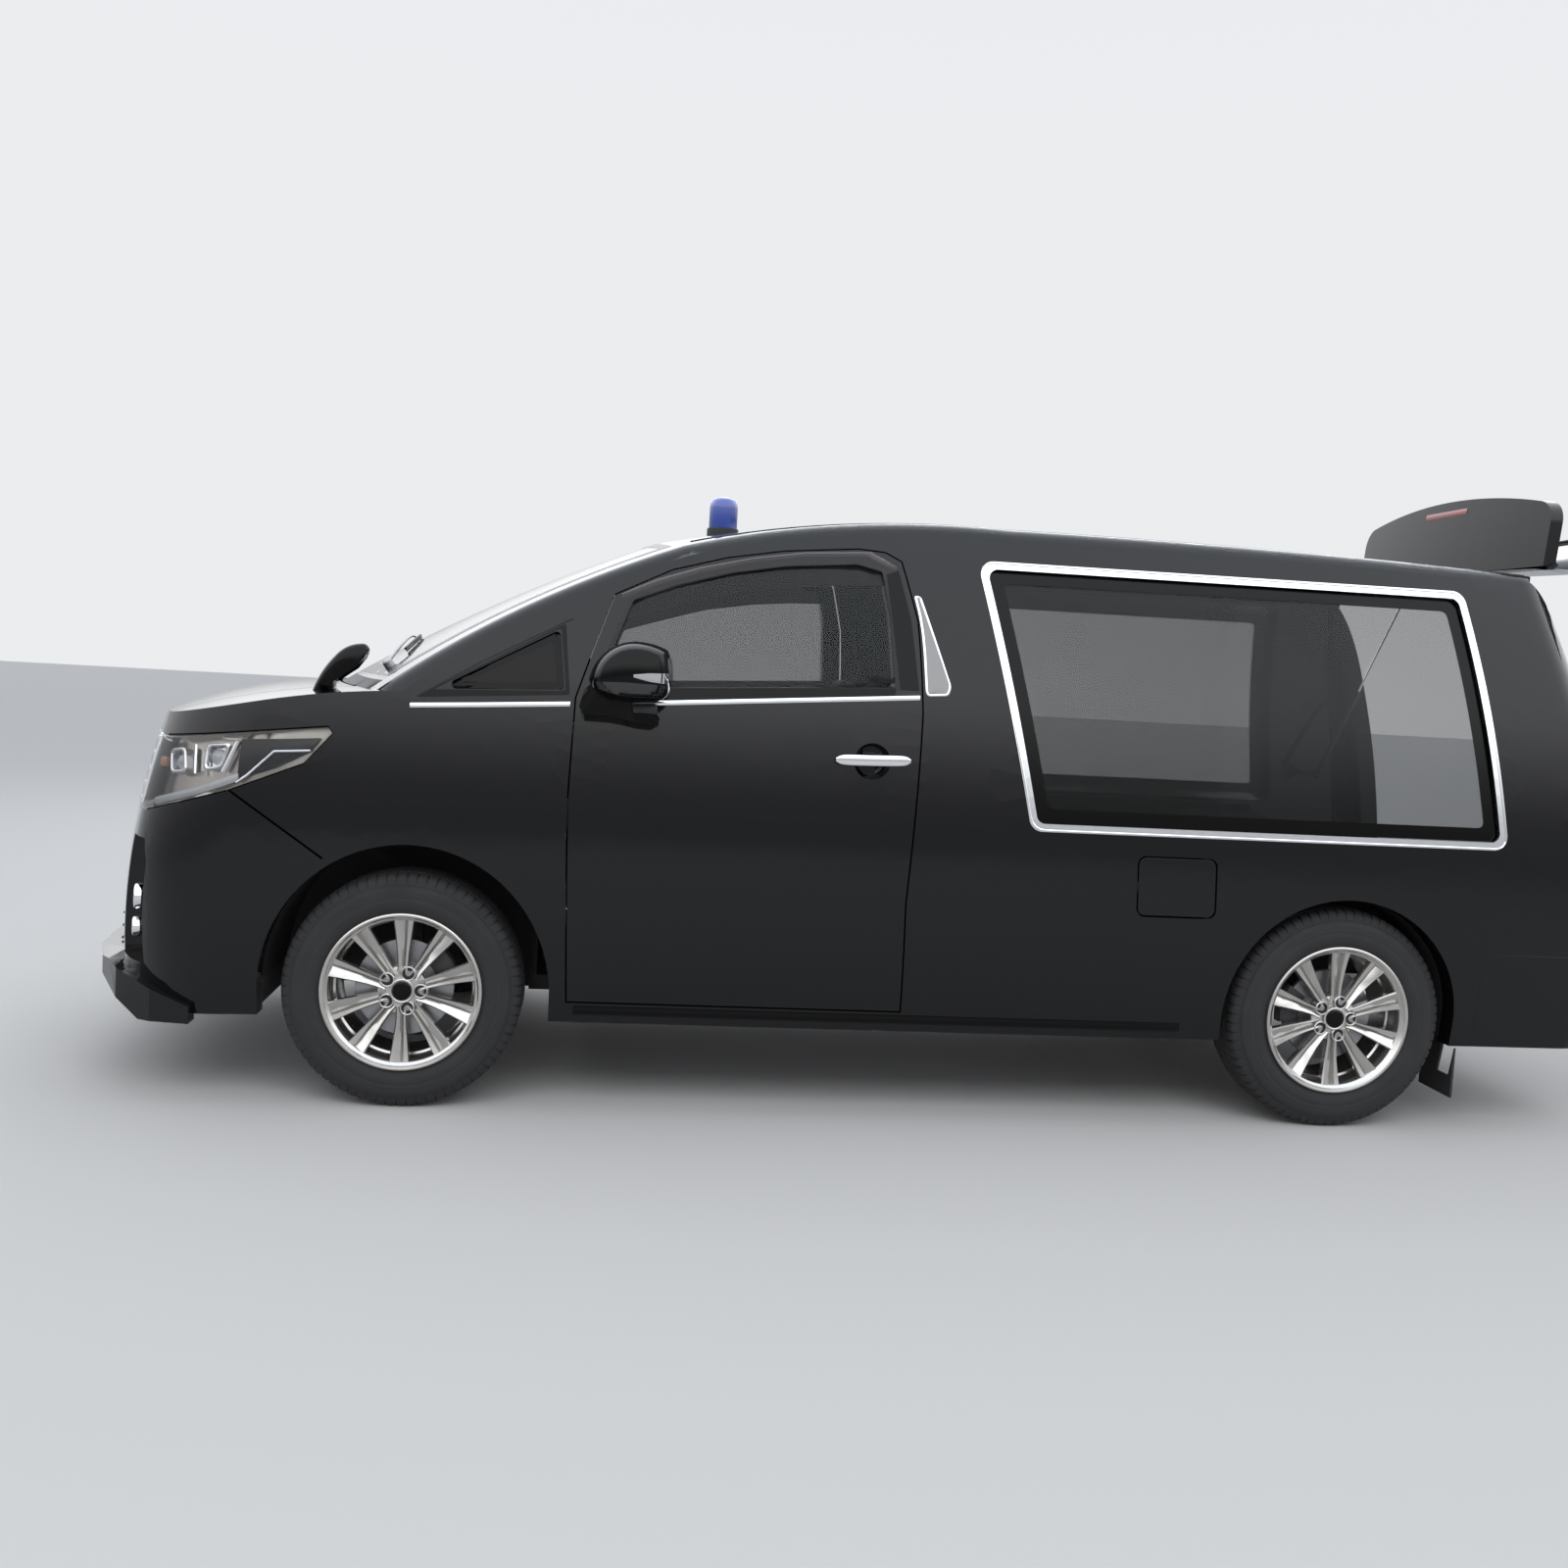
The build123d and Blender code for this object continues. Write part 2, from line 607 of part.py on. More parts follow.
# Drive train and axles
engine = block((-560, -60), (-330, 330), (400, 900)) + block((-60, 200), (-150, 150), (400, 640))
engine = engine + block((support_x, -560), (-60, 60), (420, 480))
add("engine", engine)
add("exhaust", Pos(3420, 300, 330) * Box(320, 420, 160) + rod((3400, 300, 330), (3880, 300, 300), 30)
    + block((3380, 3460), (290, 310), (400, 470)))

hub_seat = wheel_y + 40 - 0.3
axle = rod((wheelbase, -600, axle_z), (wheelbase, 600, axle_z), 40)
axle = axle + rod((wheelbase, -hub_seat, axle_z), (wheelbase, hub_seat, axle_z), 25)
for y in (-540, 540):
    axle = axle + block((wheelbase - 45, wheelbase + 45), (y - 30, y + 30), (axle_z, 470))
add("rear_axle", axle)

knuckle = rod((0, -kingpin_y, 225), (0, -kingpin_y, 290), 22) + block((-40, 40), (-750, -690), (285, 560))
knuckle = knuckle + rod((0, -kingpin_y, axle_z), (0, -hub_seat, axle_z), 35)
add_pair("knuckle", knuckle)


# Wheels. The wheel is drawn about its own axle along Z, its outer face up, and then laid over.
def build_tyre():
    r0, r1, w = bead_diameter / 2, tyre_diameter / 2, tyre_width / 2
    profile = make_face([
        Line((r0, -w + 12, 0), (r0, w - 12, 0)),
        Line((r0, w - 12, 0), (r0 + 17, w - 12, 0)),
        ThreePointArc((r0 + 17, w - 12, 0), (r0 + 58, w, 0), (r1 - 40, w - 8, 0)),
        ThreePointArc((r1 - 40, w - 8, 0), (r1 - 12.3, w - 20.3, 0), (r1, w - 50, 0)),
        Line((r1, w - 50, 0), (r1, -w + 50, 0)),
        ThreePointArc((r1, -w + 50, 0), (r1 - 12.3, -w + 20.3, 0), (r1 - 40, -w + 8, 0)),
        ThreePointArc((r1 - 40, -w + 8, 0), (r0 + 58, -w, 0), (r0 + 17, -w + 12, 0)),
        Line((r0 + 17, -w + 12, 0), (r0, -w + 12, 0)),
    ])
    return revolve(Plane.XZ * profile, Axis.Z, 360)


def build_rim():
    r0, flange, w = bead_diameter / 2, rim_flange_diameter / 2, tyre_width / 2
    barrel = Cylinder(r0, 2 * w - 24) - Cylinder(r0 - 12, 2 * w)
    lip = Pos(0, 0, w - 6) * (Cylinder(flange, 12) - Cylinder(r0 - 10, 13))
    back_lip = Pos(0, 0, -w + 6) * (Cylinder(flange, 12) - Cylinder(r0 - 10, 13))
    rim = barrel + lip + back_lip
    hub = Pos(0, 0, 62) * Cylinder(78, 44)
    spokes = []
    for i in range(10):
        wedge = polygon([(60, -14), (r0 - 6, -36), (r0 - 6, 36), (60, 14)])
        spokes.append(Rot(0, 0, i * 36 + 18) * (Pos(0, 0, 62) * extrude(wedge, 28)))
    rim = rim + hub + spokes
    for i in range(10):
        groove = polygon([(95, -3), (r0 - 20, -9), (r0 - 20, 9), (95, 3)])
        rim = rim - Rot(0, 0, i * 36 + 18) * (Pos(0, 0, 78) * extrude(groove, 20))
    for i in range(5):
        rim = rim - Rot(0, 0, i * 72) * (Pos(57, 0, 75) * Cylinder(11, 30))
    disc = Pos(0, 0, 20) * (Cylinder(disc_radius, 20) - Cylinder(disc_bore, 21))
    hat = Pos(0, 0, 28) * (Cylinder(disc_bore + 8, 36) - Cylinder(disc_bore, 37))
    return rim + disc + hat


tyre, rim = build_tyre(), build_rim()
lay = Rot(90, 0, 0)
for axle_name, x in (("front", 0), ("rear", wheelbase)):
    place = Pos(x, -wheel_y, axle_z) * lay
    add_pair("tyre_" + axle_name, place * tyre)
    add_pair("rim_" + axle_name, place * rim)

# Small fittings
flap = block((3420, 3428), (-880, -690), (110, 300)) + block((3420, 3480), (-880, -840), (286, 330))
add_pair("mud_flap", flap - skin(left_zone & block((3300, 3600), (-far, 0), (0, 500))))
dome = Pos(963, 0, 1950) * Cylinder(52, 130)
dome = fillet([e for e in dome.edges() if e.center().Z > 2000], 26)
add("beacon", (dome + Pos(963, 0, 1888) * Cylinder(58, 40)) - outer)
add("fender_mirror", pod(fender_mirror_arcs, (-275, 1225), fender_mirror_sections) - outer)

# The whole car is moved so that the origin is its bottom centre
boxes = [shape.bounding_box() for shape in shapes.values()]
low = [min(tuple(box.min)[i] for box in boxes) for i in range(3)]
high = [max(tuple(box.max)[i] for box in boxes) for i in range(3)]
shift = -(low[0] + high[0]) / 2
print("shift", round(shift, 3), "low", [round(v, 2) for v in low], "high", [round(v, 2) for v in high])
for name, shape in shapes.items():
    solids = shape.solids()
    if len(solids) != 1:
        print("solids", name, len(solids), [round(s.volume / 1000) for s in solids])
    moved = Pos(shift, 0, 0) * shape
    export_step(moved, "parts/" + name + ".step")
print("strut", [round(v, 1) for v in opened], round(strut_reach, 1), round(math.dist(strut_body, strut_gate), 1))
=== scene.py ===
import json
import math
import bpy
import bmesh
from mathutils import Matrix, Vector
from mathutils.bvhtree import BVHTree

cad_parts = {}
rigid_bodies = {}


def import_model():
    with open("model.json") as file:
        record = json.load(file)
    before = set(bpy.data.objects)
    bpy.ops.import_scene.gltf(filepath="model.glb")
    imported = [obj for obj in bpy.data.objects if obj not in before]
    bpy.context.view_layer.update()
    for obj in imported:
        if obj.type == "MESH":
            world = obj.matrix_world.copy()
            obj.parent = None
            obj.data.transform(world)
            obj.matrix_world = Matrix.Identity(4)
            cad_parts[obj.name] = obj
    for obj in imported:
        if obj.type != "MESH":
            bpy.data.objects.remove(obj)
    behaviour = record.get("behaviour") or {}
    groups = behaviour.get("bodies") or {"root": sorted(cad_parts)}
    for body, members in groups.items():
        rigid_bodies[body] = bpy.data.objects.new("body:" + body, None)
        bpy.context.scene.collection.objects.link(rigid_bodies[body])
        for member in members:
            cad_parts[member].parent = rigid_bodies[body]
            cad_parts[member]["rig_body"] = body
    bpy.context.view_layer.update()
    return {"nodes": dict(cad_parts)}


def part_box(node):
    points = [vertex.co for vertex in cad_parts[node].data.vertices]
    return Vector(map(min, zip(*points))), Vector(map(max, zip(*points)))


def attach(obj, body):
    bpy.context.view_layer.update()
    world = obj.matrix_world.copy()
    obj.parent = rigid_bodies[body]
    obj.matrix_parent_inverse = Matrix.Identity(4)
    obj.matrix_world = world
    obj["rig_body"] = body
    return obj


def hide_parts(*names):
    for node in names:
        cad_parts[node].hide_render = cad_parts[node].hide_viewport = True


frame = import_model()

nodes = frame["nodes"]
frontTyre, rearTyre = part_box("tyre_front_left"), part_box("tyre_rear_left")
axleX = (frontTyre[0].x + frontTyre[1].x) / 2  # the front axle; the car's nose is towards -X
axleZ = (frontTyre[0].z + frontTyre[1].z) / 2
wheelBase = (rearTyre[0].x + rearTyre[1].x) / 2 - axleX
sides = (("left", -1), ("right", 1))


# small helpers


class Wire:
    # a socket that can be used in a plain expression

    def __init__(self, owner, socket):
        self.owner = owner
        self.socket = socket

    def maths(self, operation, first, second):
        return self.owner.node("Math", {"operation": operation}, {0: first, 1: second})

    def __add__(self, other):
        return self.maths("ADD", self, other)

    def __radd__(self, other):
        return self.maths("ADD", other, self)

    def __sub__(self, other):
        return self.maths("SUBTRACT", self, other)

    def __mul__(self, other):
        return self.maths("MULTIPLY", self, other)

    def __rmul__(self, other):
        return self.maths("MULTIPLY", other, self)


class Sockets:
    # the nodes of one material or of the sky

    def __init__(self, tree):
        self.tree = tree

    def put(self, node, values):
        for key, value in values.items():
            if isinstance(value, Wire):
                self.tree.links.new(value.socket, node.inputs[key])
            else:
                node.inputs[key].default_value = value

    def node(self, kind, settings, values, out=0):
        made = self.tree.nodes.new("ShaderNode" + kind)
        for key, value in settings.items():
            if key == "stops":
                ramp = made.color_ramp.elements
                while len(ramp) < len(value):
                    ramp.new(0.5)
                for stop, (place, color) in zip(ramp, value):
                    stop.position = place
                    stop.color = color
            else:
                setattr(made, key, value)
        self.put(made, values)
        return Wire(self, made.outputs[out])


class Paint(Sockets):
    # one material; its surface is a Principled shader whose plain values go on its own sockets

    def __init__(self, name, color, **values):
        self.material = bpy.data.materials.new(name)
        self.material.use_nodes = True
        super().__init__(self.material.node_tree)
        self.shader = self.tree.nodes["Principled BSDF"]
        self.put(self.shader, {"Base Color": (*color[:3], 1.0)})
        self.put(self.shader, values)
        self.material.diffuse_color = (*color[:3], 1.0)

    def place(self):
        return self.node("TexCoord", {}, {}, "Object")

    def noise(self, scale, detail=2.0):
        return self.node("TexNoise", {}, {"Vector": self.place(), "Scale": scale, "Detail": detail})

    def feed(self, **values):
        self.put(self.shader, {key.replace("_", " "): value for key, value in values.items()})
        return self

    def bump(self, height, strength, distance):
        wire = self.node("Bump", {}, {"Height": height, "Strength": strength, "Distance": distance})
        return self.feed(Normal=wire)


def at(x, y, z):
    # a place measured from the front axle, with z from the ground
    return Vector((axleX + x, y, z))


def facing(place, normal):
    # a frame at a place, its Z along a direction
    return Matrix.Translation(place) @ normal.to_track_quat("Z", "Y").to_matrix().to_4x4()


def smooth(mesh, angle):
    mesh.shade_smooth()
    mesh.set_sharp_from_angle(angle=math.radians(angle))


def fromForm(name, form, paint, angle=35):
    mesh = bpy.data.meshes.new(name)
    form.to_mesh(mesh)
    form.free()
    made = bpy.data.objects.new(name, mesh)
    bpy.context.scene.collection.objects.link(made)
    mesh.materials.append(paint.material)
    smooth(mesh, angle)
    return made


def finishPiece(made, body, slotName, *replaced):
    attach(made, body)
    if replaced:
        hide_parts(*replaced)
    return made


class Shape:
    # several closed forms that become one piece

    def __init__(self):
        self.form = bmesh.new()

    def merge(self, other, place=Matrix.Identity(4)):
        mesh = bpy.data.meshes.new("part")
        other.to_mesh(mesh)
        other.free()
        mesh.transform(place)
        if place.determinant() < 0:
            mesh.flip_normals()
        self.form.from_mesh(mesh)
        bpy.data.meshes.remove(mesh)
        return self

    def rings(self, rows, closed=False, place=Matrix.Identity(4)):
        # a skin over rings of equal count; open runs get a cap at each end
        form = bmesh.new()
        made = [[form.verts.new(point) for point in row] for row in rows]
        count = len(rows[0])
        for i in range(len(made) if closed else len(made) - 1):
            first, second = made[i], made[(i + 1) % len(made)]
            for j in range(count):
                k = (j + 1) % count
                form.faces.new((first[j], first[k], second[k], second[j]))
        if not closed:
            form.faces.new(list(reversed(made[0])))
            form.faces.new(made[-1])
        bmesh.ops.recalc_face_normals(form, faces=form.faces)
        return self.merge(form, place)

    def box(self, centre, size, rounding=0.003, turn=Matrix.Identity(4), segments=2):
        form = bmesh.new()
        bmesh.ops.create_cube(form, size=1.0)
        bmesh.ops.scale(form, vec=Vector(size), verts=form.verts)
        bmesh.ops.bevel(form, geom=form.edges[:], offset=min(rounding, min(size) * 0.45),
                        segments=segments, affect="EDGES", profile=0.5)
        return self.merge(form, Matrix.Translation(Vector(centre)) @ turn)

    def lathe(self, profile, place=Matrix.Identity(4), steps=48, start=0.0, sweep=360.0):
        # profile rows are (radius, height) round a closed section, turned about local Z
        whole = sweep >= 360.0
        rows = []
        for i in range(steps if whole else steps + 1):
            angle = math.radians(start + sweep * i / steps)
            rows.append([(r * math.cos(angle), r * math.sin(angle), h) for r, h in profile])
        return self.rings(rows, whole, place)

    def tube(self, path, radius, facets=8, closed=False):
        # a round bar along a path of points
        path = [Vector(point) for point in path]
        rows, across = [], None
        for i, point in enumerate(path):
            before = path[i - 1] if i or closed else path[0]
            after = path[(i + 1) % len(path)] if i + 1 < len(path) or closed else path[-1]
            way = (after - before).normalized()
            if across is None:
                across = way.orthogonal().normalized()
            across = (across - way * across.dot(way)).normalized()
            over = way.cross(across)
            thick = radius[i] if isinstance(radius, list) else radius
            angles = (math.tau * k / facets for k in range(facets))
            rows.append([point + (across * math.cos(a) + over * math.sin(a)) * thick for a in angles])
        return self.rings(rows, closed)

    def piece(self, name, paint, slotName, body="body", *replaced, angle=35):
        return finishPiece(fromForm(name, self.form, paint, angle), body, slotName, *replaced)


class Skin:
    # the surface of some solids, found along a straight line that starts well outside them
    starts = {"side": 1.4, "front": -1.6, "rear": 4.6, "above": 2.6}

    def __init__(self, *names):
        points, faces = [], []
        for name in names:
            mesh = nodes[name].data
            start = len(points)
            points += [vert.co.copy() for vert in mesh.vertices]
            faces += [[start + i for i in face.vertices] for face in mesh.polygons]
        self.tree = BVHTree.FromPolygons(points, faces)

    def touch(self, start, way):
        start, way = Vector(start), Vector(way)
        place, normal = self.tree.ray_cast(start, way)[:2]
        if place is None:
            place, normal = self.tree.find_nearest(start + way * 0.7)[:2]
        return place, -normal if normal.dot(way) > 0 else normal

    def side(self, sign):
        return lambda x, z: self.touch(at(x, self.starts["side"] * sign, z), (0, -sign, 0))

    def front(self):
        return lambda y, z: self.touch(at(self.starts["front"], y, z), (1, 0, 0))

    def rear(self):
        return lambda y, z: self.touch(at(self.starts["rear"], y, z), (-1, 0, 0))

    def above(self):
        return lambda x, y: self.touch(at(x, y, self.starts["above"]), (0, 0, -1))


def grow(points, distance):
    # the same outline, its edges moved outward
    area = sum(a[0] * b[1] - b[0] * a[1] for a, b in zip(points, points[1:] + points[:1]))
    turn = 1 if area > 0 else -1
    grown = []
    for i, point in enumerate(points):
        here = Vector(point)
        first = (here - Vector(points[i - 1])).normalized()
        second = (Vector(points[(i + 1) % len(points)]) - here).normalized()
        outFirst = Vector((first.y, -first.x)) * turn
        bisector = (outFirst + Vector((second.y, -second.x)) * turn).normalized()
        grown.append(tuple(here + bisector * (distance / max(bisector.dot(outFirst), 0.3))))
    return grown


def rounded(points, radius, steps=4):
    # arcs at the corners of a closed outline
    made = []
    for i, point in enumerate(points):
        here, before = Vector(point), Vector(points[i - 1])
        after = Vector(points[(i + 1) % len(points)])
        reach = min(radius, (before - here).length * 0.45, (after - here).length * 0.45)
        start = here + (before - here).normalized() * reach
        end = here + (after - here).normalized() * reach
        for k in range(steps + 1):
            t = k / steps
            made.append(tuple(start * (1 - t) ** 2 + here * 2 * t * (1 - t) + end * t ** 2))
    return made


def divided(points, count, closed=False):
    # the same line with more points on each run
    made = []
    runs = list(zip(points, points[1:] + (points[:1] if closed else [])))
    for first, second in runs:
        made += [tuple(Vector(first).lerp(Vector(second), k / count)) for k in range(count)]
    return made if closed else made + [tuple(points[-1])]


def halves(outline):
    # a closed outline as two lines that run the same way, for a patch that fills it
    half = len(outline) // 2
    return outline[:half], outline[half:][::-1]


def moved(points, first, second):
    return [(a + first, b + second) for a, b in points]


def patch(shape, cast, first, second, lift=0.002, depth=0.004, dome=0.0, columns=4, count=6,
          closed=False):
    # a strip laid over the solids between two lines, with its own thickness and crown
    rows = []
    for a, b in zip(divided(first, count, closed), divided(second, count, closed)):
        topRow, lowRow = [], []
        for k in range(columns + 1):
            t = k / columns
            place, normal = cast(*Vector(a).lerp(Vector(b), t))
            topRow.append(place + normal * (lift + dome * math.sin(math.pi * t)))
            lowRow.append(place + normal * (lift - depth))
        rows.append(topRow + lowRow[::-1])
    return shape.rings(rows, closed)


def strip(name, cast, first, second, paint, slotName, body="body", **values):
    return patch(Shape(), cast, first, second, **values).piece(name, paint, slotName, body)


def border(name, cast, outline, outward, radii, *rest, **values):
    # a closed strip between two copies of an outline, moved outward by two distances
    outer, inner = (rounded(grow(outline, reach), radius) for reach, radius in zip(outward, radii))
    return strip(name, cast, outer, inner, *rest, closed=True, **values)


# finishes
print("finishes")


def worn(paint, scale, least, most):
    # roughness that wanders a little over the surface
    paint.feed(Roughness=least + (most - least) * paint.noise(scale))
    return paint


def coated(weight, roughness, **others):
    named = {key.replace("_", " "): value for key, value in others.items()}
    return {"Coat Weight": weight, "Coat Roughness": roughness, **named}


bodyPaint = Paint("bodyPaint", (0.004, 0.0042, 0.005),
                  **coated(1.0, 0.012, Coat_IOR=1.36, Specular_IOR_Level=0.05))
worn(bodyPaint, 3.0, 0.14, 0.24)
chrome = worn(Paint("chrome", (0.8, 0.81, 0.83), Metallic=1.0), 40.0, 0.04, 0.1)
polishedStrip = worn(Paint("polishedStrip", (0.78, 0.79, 0.81), Metallic=1.0), 60.0, 0.12, 0.22)
wheelSilver = worn(Paint("wheelSilver", (0.5, 0.485, 0.465), Metallic=0.9, **coated(0.6, 0.04)),
                   60.0, 0.2, 0.3)
darkPlastic = Paint("darkPlastic", (0.018, 0.018, 0.019), Roughness=0.55)
darkPlastic.bump(darkPlastic.noise(900.0), 0.15, 0.0004)
blackGloss = Paint("blackGloss", (0.002, 0.002, 0.0022),
                   **coated(0.8, 0.02, Coat_IOR=1.25, Specular_IOR_Level=0.05))
worn(blackGloss, 8.0, 0.1, 0.18)
# painted shade: a near-black finish with no reflection, for the strips along shut seams that stand in for
# the shadow inside a panel gap
paintedGapShade = Paint("paintedGapShade", (0.0008, 0.0008, 0.0009), **{"Specular IOR Level": 0.0})
worn(paintedGapShade, 8.0, 0.8, 0.9)
shadedChrome = worn(Paint("shadedChrome", (0.17, 0.17, 0.17), Metallic=1.0), 30.0, 0.05, 0.12)
tyreRubber = Paint("tyreRubber", (0.02, 0.02, 0.021))
tyreRubber.bump(tyreRubber.noise(400.0), 0.2, 0.0005)
worn(tyreRubber, 14.0, 0.66, 0.86)
softRubber = Paint("softRubber", (0.014, 0.014, 0.015))
worn(softRubber, 20.0, 0.6, 0.75).bump(softRubber.noise(300.0), 0.15, 0.0004)
steel = worn(Paint("steel", (0.32, 0.32, 0.33), Metallic=0.95), 30.0, 0.3, 0.5)
darkSteel = worn(Paint("darkSteel", (0.05, 0.05, 0.052), Metallic=0.4), 25.0, 0.45, 0.65)
underPaint = Paint("underPaint", (0.02, 0.02, 0.022))
worn(underPaint, 12.0, 0.6, 0.8).bump(underPaint.noise(150.0, 5.0), 0.3, 0.001)
lampShell = worn(Paint("lampShell", (0.62, 0.58, 0.53), Metallic=0.55), 30.0, 0.14, 0.24)
lampDark = worn(Paint("lampDark", (0.016, 0.016, 0.018)), 20.0, 0.25, 0.35)
plateWhite = worn(Paint("plateWhite", (0.55, 0.55, 0.54)), 50.0, 0.3, 0.4)
mirrorSilver = worn(Paint("mirrorSilver", (0.72, 0.73, 0.75), Metallic=1.0), 5.0, 0.01, 0.03)

# woven seat cloth: two crossed sets of threads
seatCloth = Paint("seatCloth", (0.04, 0.04, 0.044), **{"Roughness": 0.9, "Sheen Weight": 0.25})
threads = []
for way in ("X", "Y"):
    threads.append(seatCloth.node("TexWave", {"wave_type": "BANDS", "bands_direction": way}, {
        "Vector": seatCloth.place(), "Scale": 320.0, "Distortion": 1.2}))
seatCloth.bump(threads[0] * threads[1] + 0.4 * seatCloth.noise(1500.0, 3.0), 0.4, 0.0006)

# varnished boards of the load deck
deckBoard = Paint("deckBoard", (0.24, 0.12, 0.05), **coated(0.7, 0.06))
grain = deckBoard.node("TexWave", {"wave_type": "BANDS", "bands_direction": "Y", "wave_profile": "SAW"}, {
    "Vector": deckBoard.place(), "Scale": 9.0, "Distortion": 7.0, "Detail": 3.0})
woodTones = ((0.0, (0.16, 0.07, 0.026, 1)), (0.6, (0.27, 0.13, 0.052, 1)), (1.0, (0.36, 0.19, 0.085, 1)))
deckBoard.feed(Base_Color=deckBoard.node("ValToRGB", {"stops": woodTones}, {"Fac": grain}))
worn(deckBoard, 6.0, 0.28, 0.42)


def tintedGlass(name, color, thin, rim, bend=1.36):
    # clear seen straight on, and more of a mirror seen along the surface
    paint = Paint(name, color, **coated(1.0, 0.01, Coat_IOR=bend, Specular_IOR_Level=0.1))
    glance = paint.node("LayerWeight", {}, {"Blend": 0.35}, "Facing")
    paint.feed(Alpha=thin + (rim - thin) * glance, Roughness=0.02 + 0.03 * paint.noise(4.0))
    return paint


def prismLens(name, color, roughness=0.02):
    # a coloured lens with small pillows in its face
    paint = Paint(name, color, **coated(1.0, roughness))
    prism = paint.node("TexVoronoi", {"distance": "CHEBYCHEV"}, {"Vector": paint.place(), "Scale": 130.0})
    return worn(paint, 30.0, 0.08, 0.16).bump(prism, 0.25, 0.001)


windowGlass = tintedGlass("windowGlass", (0.01, 0.013, 0.013), 0.36, 0.95)
darkGlass = tintedGlass("darkGlass", (0.003, 0.0025, 0.0025), 0.86, 0.98, 1.22)
screenGlass = tintedGlass("screenGlass", (0.014, 0.02, 0.019), 0.3, 0.95)
visorGlass = tintedGlass("visorGlass", (0.125, 0.112, 0.118), 0.84, 0.97)
lampGlass = tintedGlass("lampGlass", (0.1, 0.105, 0.11), 0.06, 0.6)
redLens = prismLens("redLens", (0.36, 0.006, 0.01))
blueLens = prismLens("blueLens", (0.012, 0.07, 0.5), 0.03)
amberLens = prismLens("amberLens", (0.7, 0.2, 0.02), 0.03)
clearLens = prismLens("clearLens", (0.62, 0.64, 0.66))

# the imported solids: same form and joined edges, and on the painted body panels a fine round on each
# sharp edge
print("solids")
edge = {"round": 0.0015, "segments": 2, "join": 0.00002, "panelAngle": 14, "plainAngle": 32}


def dress(name, paint, slotName, rounding=0.0, angle=edge["plainAngle"]):
    source = nodes[name]
    form = bmesh.new()
    form.from_mesh(source.data)
    bmesh.ops.remove_doubles(form, verts=form.verts, dist=edge["join"])
    bmesh.ops.recalc_face_normals(form, faces=form.faces)
    made = fromForm(name + ".skin", form, paint, angle)
    if rounding:
        bevel = made.modifiers.new("edge", "BEVEL")
        bevel.width = rounding
        bevel.segments = edge["segments"]
        bevel.limit_method = "ANGLE"
        bevel.angle_limit = math.radians(angle)
        bevel.harden_normals = True
        bevel.use_clamp_overlap = True
    return finishPiece(made, source["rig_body"], slotName, name)


bodyPanels = ["bonnet", "roof", "hatch", "hatch_spoiler", "front_bumper", "rear_bumper", "fuel_lid"]
for side, sign in sides:
    bodyPanels += [part + "_" + side for part in ("side", "fender", "door")]
for name in bodyPanels:
    dress(name, bodyPaint, "body_paint", edge["round"], edge["panelAngle"])
plain = {
    "windscreen": (screenGlass, "window_glass"), "hatch_glass": (windowGlass, "window_glass"),
    "grille": (chrome, "trim_chrome"), "cowl": (darkPlastic, "dark_plastic"),
    "deck": (deckBoard, "deck_board"), "fender_mirror": (blackGloss, "body_paint"),
    "dashboard": (darkPlastic, "dark_plastic"), "steering_wheel": (darkPlastic, "dark_plastic"),
    "floor": (underPaint, "floor_paint"), "engine": (darkSteel, "chassis_metal"),
    "exhaust": (steel, "chassis_metal"), "rear_axle": (darkSteel, "chassis_metal"),
}
pairs = {
    "load_glass": (windowGlass, "window_glass"), "quarter_glass": (darkGlass, "window_glass"),
    "door_glass": (windowGlass, "window_glass"), "door_mirror": (blackGloss, "body_paint"),
    "load_window_frame": (polishedStrip, "window_frame"), "tail_lamp": (redLens, "tail_lamp_lens"),
    "mud_flap": (softRubber, "mud_flap_rubber"), "knuckle": (darkSteel, "chassis_metal"),
    "strut_tube": (blackGloss, "chassis_metal"), "strut_rod": (chrome, "chassis_metal"),
}
for side, sign in sides:
    plain.update({name + "_" + side: values for name, values in pairs.items()})
for name, (paint, slotName) in plain.items():
    dress(name, paint, slotName)

